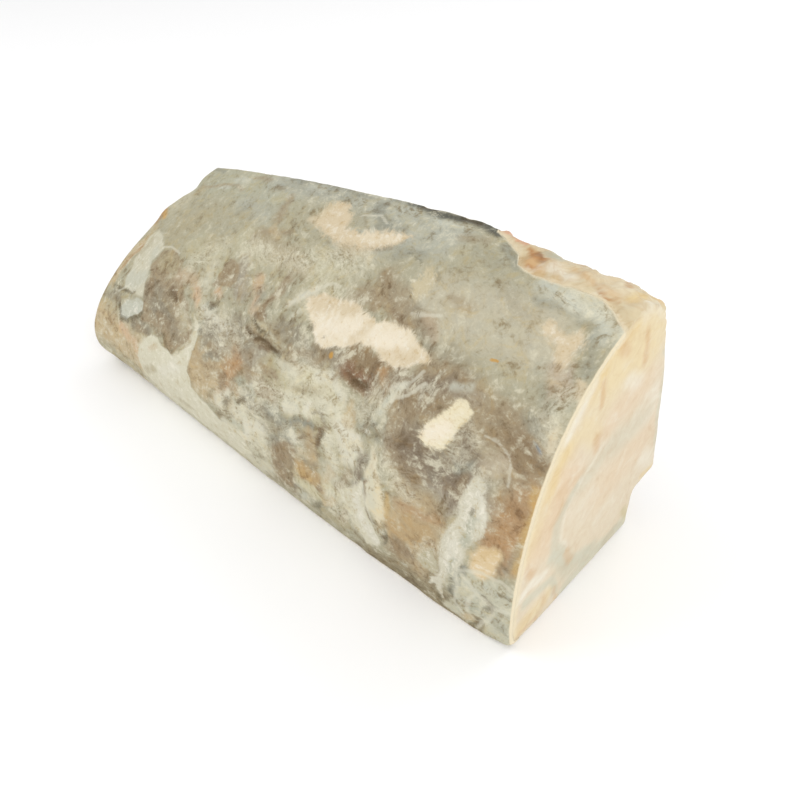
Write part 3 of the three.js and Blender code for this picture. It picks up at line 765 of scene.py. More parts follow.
paleSheets = (
    ("pale", 1.6, 0.5, ((-150, 107), (-131, 102), (-128, 98), (-131, 89), (-128, 83), (-122, 75),
                        (-119, 69), (-129, 67), (-142, 65), (-147, 69), (-147, 76), (-152, 84),
                        (-152, 92), (-155, 100))),
    ("paleGrey", 1, 0.4, ((-138, 54), (-134, 61), (-124, 66), (-117, 67), (-114, 62), (-118, 58),
                          (-124, 54), (-128, 50), (-135, 50))),
    ("sheet", 1.5, 0.8, ((-109, 40), (-104, 46), (-98, 53), (-89, 54), (-82, 51), (-74, 51), (-68, 57),
                         (-63, 64), (-63, 72), (-66, 80), (-60, 76), (-58, 66), (-60, 56), (-60, 47),
                         (-56, 39), (-48, 36), (-40, 35), (-30, 30), (-18, 34), (-10, 30), (-4, 20),
                         (-20, 8), (-60, 8), (-90, 12), (-106, 20), (-112, 32))),
    ("frost", 1.6, 0.8, ((136, 92), (138, 95), (141, 92), (144, 86), (147, 79), (147, 73), (143, 66),
                         (140, 58), (138, 50), (135, 41), (132, 32), (130, 22), (128, 12), (126, 20),
                         (121, 17), (122, 22), (127, 31), (128, 38), (126, 44), (127, 53), (130, 61),
                         (132, 70), (133, 78), (134, 86))),
    ("sand", 2.4, 1, ((114, 31), (117, 38), (120, 43), (123, 42), (126, 37), (127, 32), (124, 28),
                      (119, 27))),
    ("sheet", 1.4, 0.6, ((64, 41), (69, 46), (75, 52), (80, 59), (81, 46), (82, 37), (86, 30), (90, 22),
                         (88, 15), (80, 12), (75, 20), (73, 28), (70, 34), (66, 35))),
)
patchPaint = (
    ("peach", 8, 0.8, 0.85, ((10, 122), (26, 128), (40, 129))),
    ("brightCream", 8, 0.8, 0.7, ((28, 116), (46, 119))),
    ("deepBrown", 1.5, 0.8, 0.8, ((22.6, 110.4), (23.6, 111))),
    ("peach", 3.4, 0.9, 0.6, ((48, 112), (54, 122), (55, 130))),
    ("brightCream", 7, 0.8, 0.7, ((62, 124), (76, 129))),
    ("peach", 9, 0.9, 0.8, ((80, 121), (94, 126))),
    ("peach", 4, 0.9, 0.6, ((66, 119), (78, 124))),
    ("cream", 7, 0.9, 0.6, ((18, 164), (36, 169))),
    ("dimPeach", 6, 0.9, 0.4, ((-27, 160), (-24, 172))),
    ("brightCream", 6, 0.8, 0.8, ((110, 99), (116, 106))),
    ("peach", 2, 0.9, 0.6, ((106, 97), (105, 104), (110, 110))),
    ("paleGrey", 9, 0.8, 0.7, ((-142, 70), (-130, 76))),
    ("oliveTan", 5, 0.9, 0.4, ((-152, 88), (-150, 100))),
    ("paleGrey", 5, 0.9, 0.6, ((-136, 96), (-130, 90))),
    ("oliveTan", 4, 0.9, 0.55, ((-106, 24), (-94, 32))),
    ("oliveTan", 3, 0.9, 0.5, ((-76, 18), (-60, 22))),
    ("white", 8, 0.9, 0.7, ((-84, 34), (-70, 46))),
    ("tan", 3, 0.9, 0.5, ((-100, 42), (-92, 48))),
    ("white", 4, 0.9, 0.8, ((141, 86), (142, 74))),
    ("white", 4, 0.9, 0.8, ((133, 56), (132, 40))),
    ("greenGrey", 3, 0.9, 0.7, ((140, 74), (137, 58))),
    ("greenGrey", 2.4, 0.9, 0.6, ((132, 34), (135, 46))),
    ("white", 6, 0.9, 0.9, ((74, 46), (78, 34), (84, 22))),
    ("gold", 4, 0.9, 0.25, ((146, 60), (154, 64))),
)

# Places where the surface is crusted and streaked with frost: reach and path.
frostStreaks = (
    (8, ((26, 90), (48, 92))),
    (6, ((22, 72), (38, 76))),
    (9, ((50, 82), (62, 78), (70, 70))),
    (5, ((56, 66), (60, 56))),
    (7, ((72, 94), (80, 104), (86, 111))),
    (5, ((14, 132), (30, 132))),
    (5, ((-56, 130), (-20, 130))),
    (8, ((-20, 132), (10, 144))),
    (7, ((-92, 104), (-76, 120))),
    (8, ((-58, 82), (-28, 84))),
    (6, ((88, 74), (106, 69))),
    (5, ((138, 92), (138, 78), (133, 60), (129, 30))),
    (5, ((114, 36), (124, 44))),
    (6, ((158, 138), (163, 124))),
    (5, ((134, 177), (150, 174))),
    (10, ((-26, 46), (0, 54))),
    (5, ((4, 62), (16, 66))),
    (7, ((28, 56), (34, 54))),
    (7, ((66, 46), (78, 24))),
    (6, ((58, 34), (62, 24))),
    (4, ((96, 114), (104, 116))),
    (5, ((124, 110), (132, 106))),
    (9, ((-10, 28), (8, 36))),
    (7, ((6, 142), (30, 150))),
    (4.5, ((121, 101), (126, 98))),
    (4, ((-40, 76), (-30, 78))),
    (6, ((2, 70), (16, 72))),
)
# Dark creases and two dark dots: reach and path. All are sunk into the relief. Along the creases the dark
# colour is partly a dark stain and partly painted shade; the two dots are dark stains.
darkCreases = (
    (1.3, ((-18, 92.5), (-12, 90.5), (-6, 92), (1, 91), (11, 91))),
    (1.1, ((-16, 97), (-8, 95))),
    (2, ((-96, 81), (-87, 80))),
    (1.8, ((-55, 89), (-51, 93))),
    (1.2, ((-149, 63.5), (-142, 64), (-130, 67))),
    (1.1, ((-139, 55), (-135, 49), (-126, 50))),
    (2, ((23.2, 110.6),)),
    (0.7, ((34, 111),)),
    (1.5, ((152, 24), (155, 30), (151, 34))),
    (1.8, ((146, 5), (149, 12))),
    (1, ((138.4, 76), (138.6, 79))),
    (1.4, ((49, 63), (51, 69))),
    (1.2, ((91, 27), (94, 31))),
    (2.4, ((32, 197), (40, 198.5))),
    (2, ((58, 199), (68, 199))),
    (1.4, ((103, 193), (108, 196))),
    (1.6, ((62, 101), (70, 103))),
    (1.4, ((-24, 45), (-20, 51))),
    (1.4, ((-12, 53), (-7, 57))),
)
paleLines = (
    (0.6, ((134, 112), (141, 113.5), (147, 111), (150, 106), (151, 98))),
    (1, ((136, 42), (141, 45), (149, 48), (158, 50), (165, 47))),
    (1, ((139, 41), (144, 38), (148, 33), (156, 29), (165, 33))),
    (1, ((155, 29), (157, 24), (154, 17), (150, 12), (147, 4))),
    (0.9, ((148, 34), (144, 26), (143, 14))),
    (0.9, ((136, 40), (138, 30), (136, 18), (140, 10))),
    (0.8, ((76, 141), (82, 143.5), (89, 145.5))),
    (0.8, ((-146, 62), (-140, 68), (-132, 66))),
    (0.8, ((-130, 99), (-122, 103), (-110, 102))),
    (1, ((17, 131), (21, 134), (27, 135))),
    (0.8, ((80, 57), (82, 46), (87, 34))),
    (0.7, ((4, 174), (16, 178), (24, 175))),
    (0.8, ((84, 108), (92, 116), (96, 122))),
    (0.8, ((86, 104), (95, 112), (100, 118))),
)
# Brush marks run up the arc here, and along the fillet elsewhere.
upwardMarks = (
    (26, ((14, 120), (94, 122))),
    (26, ((20, 28), (90, 36))),
    (18, ((76, 62), (88, 108))),
    (26, ((126, 30), (142, 84))),
    (22, ((150, 10), (160, 40))),
    (22, ((-150, 70), (-142, 110))),
    (16, ((-24, 104), (-10, 118))),
    (18, ((152, 140), (160, 168))),
    (26, ((-120, 20), (-60, 26))),
)
calmPlaces = (
    (52, ((-150, 150), (-70, 158))),
    (34, ((-140, 122), (-84, 128))),
    (34, ((80, 168), (124, 160))),
    (20, ((-10, 164), (40, 168))),
    (16, ((104, 40), (114, 52))),
    (18, ((148, 57), (152, 60))),
)
rustSpecks = (
    (1.8, ((43.5, 105.2),)),
    (0.9, ((122.6, 140), (125.4, 140.4))),
    (1.2, ((-163, 118),)),
)

print("fillet form ready")


beyond = 400            # a height up the arc that is past its end everywhere
coarseStep = 4          # steps of the skin's outer side to one of its inner side, as stitchEdges has


# Where the skin was trimmed off, as a height up the arc.
def bareEdgeAt(x):
    edge = np.array(skin["bareEdge"])
    along = np.column_stack([x, np.zeros_like(x), np.zeros_like(x)])
    ragged = skin["edgeRaggedness"] * layeredNoise(along, skin["edgePitch"], 40)
    return np.where(x < edge[0, 0], beyond, np.interp(x, edge[:, 0], edge[:, 1]) + ragged)


def outwardOf(points):
    tangent = np.gradient(points, axis=0)
    tangent /= np.linalg.norm(tangent, axis=1)[:, None]
    return np.stack([-tangent[:, 1], tangent[:, 0]], axis=1)


# Faces between a fine edge and a coarse one.
def stitchEdges(fine, coarse, flip):
    faces = []
    for k in range(len(coarse) - 1):
        a, b = coarse[k], coarse[k + 1]
        f = fine[coarseStep * k:coarseStep * (k + 1) + 1]
        faces += [(a, f[0], f[1]), (a, f[1], f[2]), (a, f[2], b), (b, f[2], f[3]), (b, f[3], f[4])]
    return [face[::-1] for face in faces] if flip else faces


def gridFaces(rows, columns, first, flip):
    index = np.arange(rows * columns).reshape(rows, columns) + first
    corners = [index[:-1, :-1], index[1:, :-1], index[1:, 1:], index[:-1, 1:]]
    if flip:
        corners = corners[::-1]
    return np.stack(corners, axis=-1).reshape(-1, 4).tolist()


def buildSkin():
    xs = stationsAlong(skin["spacing"], skin["edgeSteps"], coarseStep)
    edges = bareEdgeAt(xs)
    rows, columns = len(xs), skin["columns"]
    surface = np.zeros((rows, columns, 3))
    outward = np.zeros((rows, columns, 3))
    inset = np.zeros((rows, columns))
    places = np.zeros((rows, columns, 2))
    runs = np.zeros((rows, columns, 2))
    half = form["length"] / 2
    for i, x in enumerate(xs):
        section = sectionAt(x / form["length"] + 0.5)
        lengths = runLengths(section["line"])
        last = np.interp(edges[i], section["v"], lengths)
        run = np.linspace(0, last, columns)
        points = np.stack([np.interp(run, lengths, section["line"][:, k]) for k in range(2)], axis=1)
        s = np.interp(run, lengths, section["s"])
        inset[i] = edgeInset(x, 1, *cornerShares(s))
        surface[i, :, 0] = x + scallopAt(s, x)
        surface[i, :, 1:] = points
        outward[i, :, 1:] = outwardOf(points)
        places[i, :, 0] = x
        places[i, :, 1] = np.interp(run, lengths, section["v"])
        runs[i, :, 0] = run
        runs[i, :, 1] = last - run
    flatPlaces = places.reshape(-1, 2)
    fields = skinFields(flatPlaces)
    fromEnd = np.minimum(xs + half, half - xs)[:, None]
    border = np.minimum(np.minimum(fromEnd, runs[:, :, 0]), runs[:, :, 1])
    relief = skinRelief(flatPlaces, fields).reshape(rows, columns)
    relief = relief * smooth(border, 0, skin["borderFade"])
    trimmed = smooth(xs, *skin["bareFrom"])[:, None]
    thin = smooth(runs[:, :, 1], 0, skin["thinWithin"]) * trimmed + (1 - trimmed)
    thickness = share((skin["borderThickness"], skin["thickness"]), thin)
    depth = np.maximum(thickness, inset + skin["leastDepth"])[:, :, None]
    outer = surface + outward * (relief - inset)[:, :, None]
    inner = (surface - outward * depth)[::coarseStep, ::coarseStep]
    vertices = np.concatenate([outer.reshape(-1, 3), inner.reshape(-1, 3)])
    fine = np.arange(rows * columns).reshape(rows, columns)
    coarse = np.arange(inner.shape[0] * inner.shape[1]).reshape(inner.shape[:2]) + fine.size
    faces = gridFaces(rows, columns, 0, False)
    faces += gridFaces(coarse.shape[0], coarse.shape[1], fine.size, True)
    faces += stitchEdges(fine[0], coarse[0], False)
    faces += stitchEdges(fine[-1], coarse[-1], True)
    faces += stitchEdges(fine[:, 0], coarse[:, 0], True)
    faces += stitchEdges(fine[:, -1], coarse[:, -1], False)
    piece = meshPiece("skin", toFrame(vertices), faces)

    reach = skin["rim"]
    rim = 1 - fromEnd / np.where(xs > 0, reach["wide"], reach["narrow"])[:, None]
    rim = np.maximum(rim, 1 - (runs[:, :, 0] - reach["footStart"]) / reach["foot"])
    rim = np.maximum(rim, 1 - (runs[:, :, 1] + reach["bareBack"] * trimmed) / reach["bare"])
    fields["rim"] = np.clip(rim, -1, 1).ravel()
    fields["place"] = np.column_stack([flatPlaces, np.zeros(len(flatPlaces))])
    coarsePicks = fine[::coarseStep, ::coarseStep].ravel()
    for name, values in fields.items():
        lower = values[coarsePicks].copy()
        if name == "rim":
            lower[:] = 1
        storeField(piece, name, np.concatenate([values, lower]))
    piece.data.shade_smooth()
    return piece


# How far inside its nearest patch each place lies, from -2 to 2 across the soft edge, and the
# colour and raggedness of that patch.
def patchFields(patches, places):
    field = np.full(len(places), -2.0)
    tint = np.zeros((len(places), 3))
    ragged = np.zeros(len(places))
    nearest = np.full(len(places), -np.inf)
    for colour, softness, raggedness, outline in patches:
        depth = outlineField(outline, places)
        closer = depth > nearest
        nearest[closer] = depth[closer]
        tint[closer] = screen(*skin["palette"][colour])
        ragged[closer] = raggedness
        field = np.maximum(field, np.clip(depth / softness, -2, 2))
    return field, tint, ragged


# Stains and patches at each place on the skin.
def skinFields(places):
    palette = skin["palette"]
    loose = warpedPlaces(places, skin["looseWarp"], 60)
    close = warpedPlaces(places, skin["closeWarp"], 70)
    flow = smooth(strongestField(upwardMarks, places), 0, 0.5)
    brushed = brushedPlaces(loose, flow, 1, 72)
    loose = brushedPlaces(loose, flow, skin["brush"]["fineShare"], 66)
    base = np.tile(screen(*palette["beige"]), (len(places), 1))
    fields = {"tint": paintStrokes(base, skinPaint, palette, loose, brushed), "flow": flow}
    fields["calm"] = smooth(strongestField(calmPlaces, places), 0, 0.6)
    fields["cream"], creamTint, creamRagged = patchFields(bareCream, close)
    fields["sheet"], sheetTint, sheetRagged = patchFields(paleSheets, close)
    isCream = fields["cream"] > fields["sheet"]
    patchTint = np.where(isCream[:, None], creamTint, sheetTint)
    fields["patchTint"] = paintStrokes(patchTint, patchPaint, palette, loose, brushed)
    fields["ragged"] = np.where(isCream, creamRagged, sheetRagged)
    fields["frost"] = strongestField(frostStreaks, brushed)
    fields["crease"] = strongestField(darkCreases, warpedPlaces(places, skin["creaseWarp"], 80))
    fields["line"] = strongestField(paleLines, warpedPlaces(places, skin["lineWarp"], 84))
    fields["speck"] = strongestField(rustSpecks, close)
    return fields


# Height of the skin's surface over its even form.
def skinRelief(places, fields):
    flat = np.column_stack([places, np.zeros(len(places))])
    heights = skin["heights"]

    def lumpy(lumps, base):
        return sum((size * valueNoise(flat, pitch, seed) for pitch, size, seed in lumps), base)

    height = lumpy(skin["lumps"], 0)
    height -= (heights["cream"] * smooth(fields["cream"], -1, 1)
               + heights["sheet"] * smooth(fields["sheet"], -1, 1))
    height += smooth(fields["frost"], 0, 0.5) * lumpy(skin["frostLumps"], heights["frost"])
    height -= heights["crease"] * smooth(fields["crease"], 0, 0.8)
    height += heights["line"] * smooth(fields["line"], 0, 0.8)
    return height


# The flesh. Strokes on the wide cut are placed by y and z in its section, those on the bare top
# by x and v as on the skin.
flesh = {
    "voxel": 1.5,
    "underSkin": {"atCut": 0.3, "within": 1.3, "fade": 3.5, "edge": (2.5, 0.3)},
    "faceRecess": 0.12,
    "spacing": 3,
    "edgeSteps": 5,
    "steps": {"side": 96, "back": 44, "wall": 8, "notch": 9, "base": 40, "corner": 5},
    "roundedFrom": {"foot": 0.8, "ridge": 0.35},    # shares of the base and of the back cut
    "sectionPitch": 3,
    "lineStep": 3,
    "bare": {"below": 1, "above": 2, "depth": (2, 5)},
    "lumps": {"height": 1.6, "pitch": 9, "fine": 0.5, "finePitch": 3.6},
    "waves": {"height": 0.22, "pitch": 14, "stretch": 0.6, "fine": 0.06, "finePitch": 3, "depth": (2, 6)},
    "evenBelow": 3,
    "faceWarp": ((22, 2.5), (8, 1.4)),
    "topWarp": ((12, 1.5), (4, 1)),
    "clouds": {"pitch": 34, "stretch": 0.5},
    "paintedFrom": (120, 164),
    "palette": {
        "base": (228, 214, 188), "yellow": (233, 214, 170), "deepYellow": (230, 204, 148),
        "peach": (229, 206, 174), "orange": (214, 176, 130), "rust": (184, 130, 80),
        "brown": (150, 104, 66), "grey": (209, 207, 186), "blueGrey": (198, 199, 179),
        "white": (240, 234, 217), "cream": (234, 221, 190), "salmon": (222, 172, 138),
        "olive": (206, 194, 152), "bevel": (222, 206, 171), "tan": (205, 178, 134),
    },
}
facePaint = (
    ("yellow", 34, 0.9, 0.9, ((44, 138), (76, 136))),
    ("yellow", 16, 0.9, 0.9, ((18, 112), (4, 66))),
    ("peach", 18, 0.9, 0.9, ((22, 96), (14, 62))),
    ("peach", 24, 0.9, 0.6, ((66, 60), (96, 66))),
    ("peach", 16, 0.9, 0.7, ((52, 106), (80, 108))),
    ("grey", 13, 0.9, 0.42, ((40, 82), (58, 90), (92, 82))),
    ("deepYellow", 6, 0.9, 0.8, ((30, 134), (44, 148), (58, 150))),
    ("deepYellow", 5, 0.9, 0.6, ((10, 92), (18, 112))),
    ("yellow", 10, 0.9, 0.6, ((30, 118), (40, 108))),
    ("orange", 3, 0.9, 0.6, ((38, 136), (41, 122))),
    ("orange", 4, 0.9, 0.5, ((50, 148), (54, 140))),
    ("orange", 4, 0.9, 0.6, ((69, 142), (74, 126))),
    ("orange", 8, 0.9, 0.3, ((20, 90), (34, 90))),
    ("orange", 4, 0.9, 0.5, ((42, 106), (46, 96))),
    ("orange", 5, 0.9, 0.5, ((4, 56), (8, 48))),
    ("white", 9, 0.9, 0.6, ((60, 124), (70, 114))),
    ("white", 7, 0.9, 0.6, ((92, 98), (98, 92))),
    ("white", 7, 0.9, 0.9, ((16, 122), (30, 138))),
    ("grey", 6, 0.8, 0.65, ((34, 84), (24, 68), (25, 52), (32, 38), (44, 24), (60, 14))),
    ("white", 1.6, 0.9, 0.45, ((52, 96), (38, 86), (29, 70), (29, 52), (36, 40))),
    ("blueGrey", 9, 0.9, 0.5, ((34, 28), (48, 14), (66, 12))),
    ("grey", 10, 0.9, 0.9, ((44, 4), (104, 6))),
    ("white", 6, 0.8, 0.9, ((-4, 36), (10, 40), (18, 38))),
    ("grey", 7, 0.9, 0.8, ((24, 46), (31, 36))),
    ("grey", 5, 0.8, 0.8, ((6, 30), (26, 25), (34, 10))),
    ("yellow", 11, 0.5, 0.6, ((8, 12), (20, 14))),
    ("deepYellow", 5, 0.9, 0.3, ((6, 8), (16, 16))),
    ("orange", 3, 0.9, 0.35, ((19, 20), (23, 12))),
    ("orange", 3, 0.9, 0.5, ((31, 14), (37, 3))),
    ("orange", 3, 0.9, 0.5, ((6, 5), (20, 3))),
    ("orange", 4, 0.9, 0.5, ((36, 36), (44, 24))),
    ("white", 9, 0.9, 0.6, ((104, 50), (114, 42))),
    ("deepYellow", 4, 0.9, 0.6, ((108, 33), (118, 31))),
    ("olive", 4, 0.9, 0.7, ((96, 20), (101, 4))),
    ("blueGrey", 3.5, 0.9, 0.5, ((118, 46), (106, 84), (94, 120))),
    ("white", 3, 0.8, 0.8, ((46, 149), (60, 154), (72, 153), (83, 148))),
)
topPaint = (
    ("salmon", 4, 0.7, 0.95, ((76, 203), (98, 199))),
    ("tan", 7, 0.8, 0.9, ((102, 186), (118, 190))),
    ("rust", 3, 0.8, 0.9, ((102, 195), (107, 191), (112, 193))),
    ("brown", 1.8, 0.8, 0.8, ((105, 196), (109, 193))),
    ("brown", 1.6, 0.8, 0.7, ((110, 190), (114, 191))),
    ("orange", 4, 0.8, 0.8, ((107, 188), (114, 185))),
    ("rust", 1.6, 0.8, 0.7, ((108, 185), (112, 187))),
    ("tan", 3, 0.8, 0.7, ((104, 183), (128, 183))),
    ("blueGrey", 3, 0.8, 0.9, ((108, 198), (118, 197))),
    ("orange", 2.4, 0.8, 0.5, ((128, 195), (140, 190), (154, 186))),
    ("rust", 1.3, 0.8, 0.8, ((143, 186), (154, 183))),
    ("rust", 1.6, 0.9, 0.4, ((122, 200), (132, 199))),
    ("white", 6, 0.9, 0.6, ((120, 190), (130, 188))),
    ("cream", 9, 0.9, 0.8, ((140, 200), (156, 194))),
    ("deepYellow", 5, 0.9, 0.7, ((158, 190), (163, 204))),
    ("rust", 1.8, 0.9, 0.6, ((146, 203), (151, 198))),
    ("salmon", 3, 0.9, 0.6, ((158, 206), (162, 200))),
    ("tan", 4, 0.9, 0.6, ((138, 206), (150, 208))),
)

offArc = -9             # a share of the arc that no scallop reaches


# The closed outline of the flesh at one station: up the skin's side, then round the cut sides.
def fleshLoop(x):
    section = sectionAt(x / form["length"] + 0.5)
    line = section["line"]
    lengths = runLengths(line)
    steps = flesh["steps"]
    sideCount = steps["side"]
    run = np.linspace(0, lengths[-1], sideCount)
    side = np.stack([np.interp(run, lengths, line[:, k]) for k in range(2)], axis=1)
    v = np.interp(run, lengths, section["v"])
    s = np.interp(run, lengths, section["s"])
    edge = float(bareEdgeAt(np.array([x]))[0])
    under = flesh["underSkin"]
    cover = 1 - smooth(v, edge - under["edge"][0], edge - under["edge"][1])
    backTop, backFoot, wall, notchFoot, baseEnd = section["corners"]
    radius = form["notch"]["radius"]
    stretches = [side]
    previous = backTop
    for corner, following, count in ((backFoot, wall, steps["back"]), (wall, notchFoot, steps["wall"]),
                                     (notchFoot, baseEnd, steps["notch"])):
        before = corner + (previous - corner) / np.linalg.norm(previous - corner) * radius
        after = corner + (following - corner) / np.linalg.norm(following - corner) * radius
        straight = np.linspace(previous, before, count)[1:-1]
        stretches += [straight, bezier([before, corner, after], steps["corner"])]
        previous = after
    stretches.append(np.linspace(previous, baseEnd, steps["base"])[1:-1])
    points = np.concatenate(stretches)

    rest = len(points) - sideCount
    backCount, baseCount = steps["back"] - 2, steps["base"] - 2
    backShare = np.clip(np.arange(rest) / backCount, 0, 1)
    baseShare = np.clip((np.arange(rest) - (rest - baseCount)) / baseCount, 0, 1)
    rounded = flesh["roundedFrom"]
    onSide = np.stack([np.ones(sideCount), *cornerShares(s), cover])
    onCuts = np.stack([np.zeros(rest), smooth(baseShare, rounded["foot"], 1),
                       1 - smooth(backShare, 0, rounded["ridge"]), np.zeros(rest)])
    onSkin, atFoot, atRidge, covered = np.concatenate([onSide, onCuts], axis=1)
    following = np.roll(points, -1, axis=0)
    before = np.roll(points, 1, axis=0)
    inward = np.stack([(following - before)[:, 1], (before - following)[:, 0]], axis=1)
    inward /= np.linalg.norm(inward, axis=1)[:, None]
    fromCut = smooth(form["length"] / 2 - abs(x), 0, under["fade"])
    gap = share((under["atCut"], under["within"]), fromCut)
    inset = edgeInset(x, onSkin, atFoot, atRidge) + gap * covered
    shift = scallopAt(np.concatenate([s, np.full(rest, offArc)]), x)
    return np.column_stack([x + shift, points + inward * inset[:, None]])


def buildFleshBlock():
    xs = stationsAlong(flesh["spacing"], flesh["edgeSteps"])
    rings = [fleshLoop(x) for x in xs]
    rings[0][:, 0] += flesh["faceRecess"]
    rings[-1][:, 0] -= flesh["faceRecess"]
    count = len(rings[0])
    faces = []
    for i in range(len(rings) - 1):
        for j in range(count):
            a, d = i * count + j, i * count + (j + 1) % count
            faces.append((a, a + count, d + count, d))
    narrowMiddle, wideMiddle = ((ring.min(axis=0) + ring.max(axis=0)) / 2 for ring in (rings[0], rings[-1]))
    narrowMiddle[0] = flesh["faceRecess"] - form["length"] / 2
    wideMiddle[0] = rings[-1][:, 0].mean()
    first, last = len(rings) * count, (len(rings) - 1) * count
    for j in range(count):
        following = (j + 1) % count
        faces.append((first, j, following))
        faces.append((first + 1, last + following, last + j))
    vertices = np.concatenate([*rings, [narrowMiddle, wideMiddle]])
    block = meshPiece("fleshBlock", toFrame(vertices), faces)
    remesh = block.modifiers.new("remesh", "REMESH")
    remesh.mode = "VOXEL"
    remesh.voxel_size = flesh["voxel"] * millimetre
    depsgraph = bpy.context.evaluated_depsgraph_get()
    mesh = bpy.data.meshes.new_from_object(block.evaluated_get(depsgraph))
    mesh.name = "flesh"
    piece = bpy.data.objects.new("flesh", mesh)
    bpy.context.scene.collection.objects.link(piece)
    bpy.data.objects.remove(block)
    return piece


# Depth under the skin's arc and height up it, for points in section coordinates.
def arcPlaces(points):
    depth = np.zeros(len(points))
    v = np.zeros(len(points))
    pitch, step = flesh["sectionPitch"], flesh["lineStep"]
    stations = np.round((points[:, 0] + form["length"] / 2) / pitch)
    shares = np.clip(stations / (form["length"] / pitch), 0, 1)
    for u in np.unique(shares):
        chosen = np.nonzero(shares == u)[0]
        section = sectionAt(u)
        gaps = np.linalg.norm(points[chosen, None, 1:] - section["line"][None, ::step], axis=2)
        nearest = gaps.argmin(axis=1)
        depth[chosen] = gaps[np.arange(len(chosen)), nearest]
        v[chosen] = section["v"][::step][nearest]
    return depth, v


def buildFlesh():
    piece = buildFleshBlock()
    mesh = piece.data
    count = len(mesh.vertices)
    coordinates = np.zeros((count, 3))
    mesh.vertices.foreach_get("co", coordinates.ravel())
    normals = np.zeros((count, 3))
    mesh.vertex_normals.foreach_get("vector", normals.ravel())
    points = coordinates / millimetre - (lengthShift, sideShift, 0)
    depth, v = arcPlaces(points)
    edge = bareEdgeAt(points[:, 0])
    top = flesh["bare"]
    bare = smooth(v, edge - top["below"], edge + top["above"]) * (1 - smooth(depth, *top["depth"]))
    lumps = flesh["lumps"]
    rough = layeredNoise(points, lumps["pitch"], 90)
    rough += lumps["fine"] * valueNoise(points, lumps["finePitch"], 95)
    height = lumps["height"] * bare * rough
    waves = flesh["waves"]
    wavy = waves["height"] * layeredNoise(points * (waves["stretch"], 1, 1), waves["pitch"], 100)
    wavy += waves["fine"] * valueNoise(points, waves["finePitch"], 104)
    height += smooth(depth, *waves["depth"]) * wavy
    low = smooth(points[:, 2], 0, flesh["evenBelow"])
    coordinates += normals * (height * low * millimetre)[:, None]
    mesh.vertices.foreach_set("co", coordinates.ravel())
    mesh.update()

    palette = flesh["palette"]
    facePlaces = warpedPlaces(points[:, 1:], flesh["faceWarp"], 110)
    plain = np.tile(screen(*palette["base"]), (count, 1))
    tint = paintStrokes(plain, facePaint, palette, facePlaces, facePlaces)
    clouds = flesh["clouds"]
    broad = valueNoise(points * (clouds["stretch"], 1, 1), clouds["pitch"], 120)[:, None]
    warm, cool = screen(*palette["peach"]), screen(*palette["grey"])
    plain += (warm - plain) * np.clip(broad, 0, 1) + (cool - plain) * np.clip(-broad, 0, 1)
    tint = plain + (tint - plain) * smooth(points[:, 0], *flesh["paintedFrom"])[:, None]
    topPlaces = warpedPlaces(np.column_stack([points[:, 0], v]), flesh["topWarp"], 130)
    bevel = np.tile(screen(*palette["bevel"]), (count, 1))
    topTint = paintStrokes(bevel, topPaint, palette, topPlaces, topPlaces)
    tint += (topTint - tint) * bare[:, None]
    storeField(piece, "tint", tint)
    storeField(piece, "skinDepth", depth)
    storeField(piece, "bare", bare)
    mesh.shade_smooth()
    return piece


skinPiece = buildSkin()
print("skin:", len(skinPiece.data.polygons), "faces")
fleshPiece = buildFlesh()
print("flesh:", len(fleshPiece.data.polygons), "faces")


def addNode(tree, kind, inputs=None, **settings):
    made = tree.nodes.new(kind)
    for name, value in settings.items():
        setattr(made, name, value)
    for name, value in (inputs or {}).items():
        if isinstance(value, bpy.types.NodeSocket):
            tree.links.new(value, made.inputs[name])
        else:
            made.inputs[name].default_value = value
    return made


def maths(tree, operation, first, second=0.0, third=0.0):
    made = addNode(tree, "ShaderNodeMath", {0: first, 1: second, 2: third}, operation=operation)
    return made.outputs[0]


def ramp(tree, value, low, high, lowest=0.0, highest=1.0):
    made = addNode(tree, "ShaderNodeMapRange",
                   {"Value": value, "From Min": low, "From Max": high, "To Min": lowest, "To Max": highest},
                   interpolation_type="SMOOTHSTEP")
    return made.outputs[0]


def mixColours(tree, amount, first, second, blend="MIX"):
    inputs = {0: amount, 6: first, 7: second}
    return addNode(tree, "ShaderNodeMix", inputs, data_type="RGBA", blend_type=blend).outputs[2]


def attribute(tree, name, output="Fac"):
    return addNode(tree, "ShaderNodeAttribute", attribute_name=name).outputs[output]


def screenColour(red, green, blue):
    return (*screen(red, green, blue), 1)


def newGroup(name, inputs, outputs):
    group = bpy.data.node_groups.new(name, "ShaderNodeTree")
    for socket, kind, value in inputs:
        made = group.interface.new_socket(name=socket, in_out="INPUT", socket_type=kind)
        if value is not None:
            made.default_value = value
    for socket, kind in outputs:
        group.interface.new_socket(name=socket, in_out="OUTPUT", socket_type=kind)
    return group, group.nodes.new("NodeGroupInput"), group.nodes.new("NodeGroupOutput")


def useGroup(tree, group, inputs, output):
    return addNode(tree, "ShaderNodeGroup", inputs, node_tree=group).outputs[output]


# A field turned into a mask whose edge is broken up by noise.
def brokenEdgeGroup():
    group, given, out = newGroup(
        "brokenEdge",
        (("Field", "NodeSocketFloat", 0.0), ("Noise", "NodeSocketFloat", 0.5),
         ("Raggedness", "NodeSocketFloat", 0.3), ("Softness", "NodeSocketFloat", 0.1)),
        (("Mask", "NodeSocketFloat"),))
    centred = maths(group, "SUBTRACT", given.outputs["Noise"], 0.5)
    moved = maths(group, "MULTIPLY_ADD", centred, given.outputs["Raggedness"], given.outputs["Field"])
    low = maths(group, "MULTIPLY", given.outputs["Softness"], -1.0)
    mask = ramp(group, moved, low, given.outputs["Softness"])
    group.links.new(mask, out.inputs["Mask"])
    return group


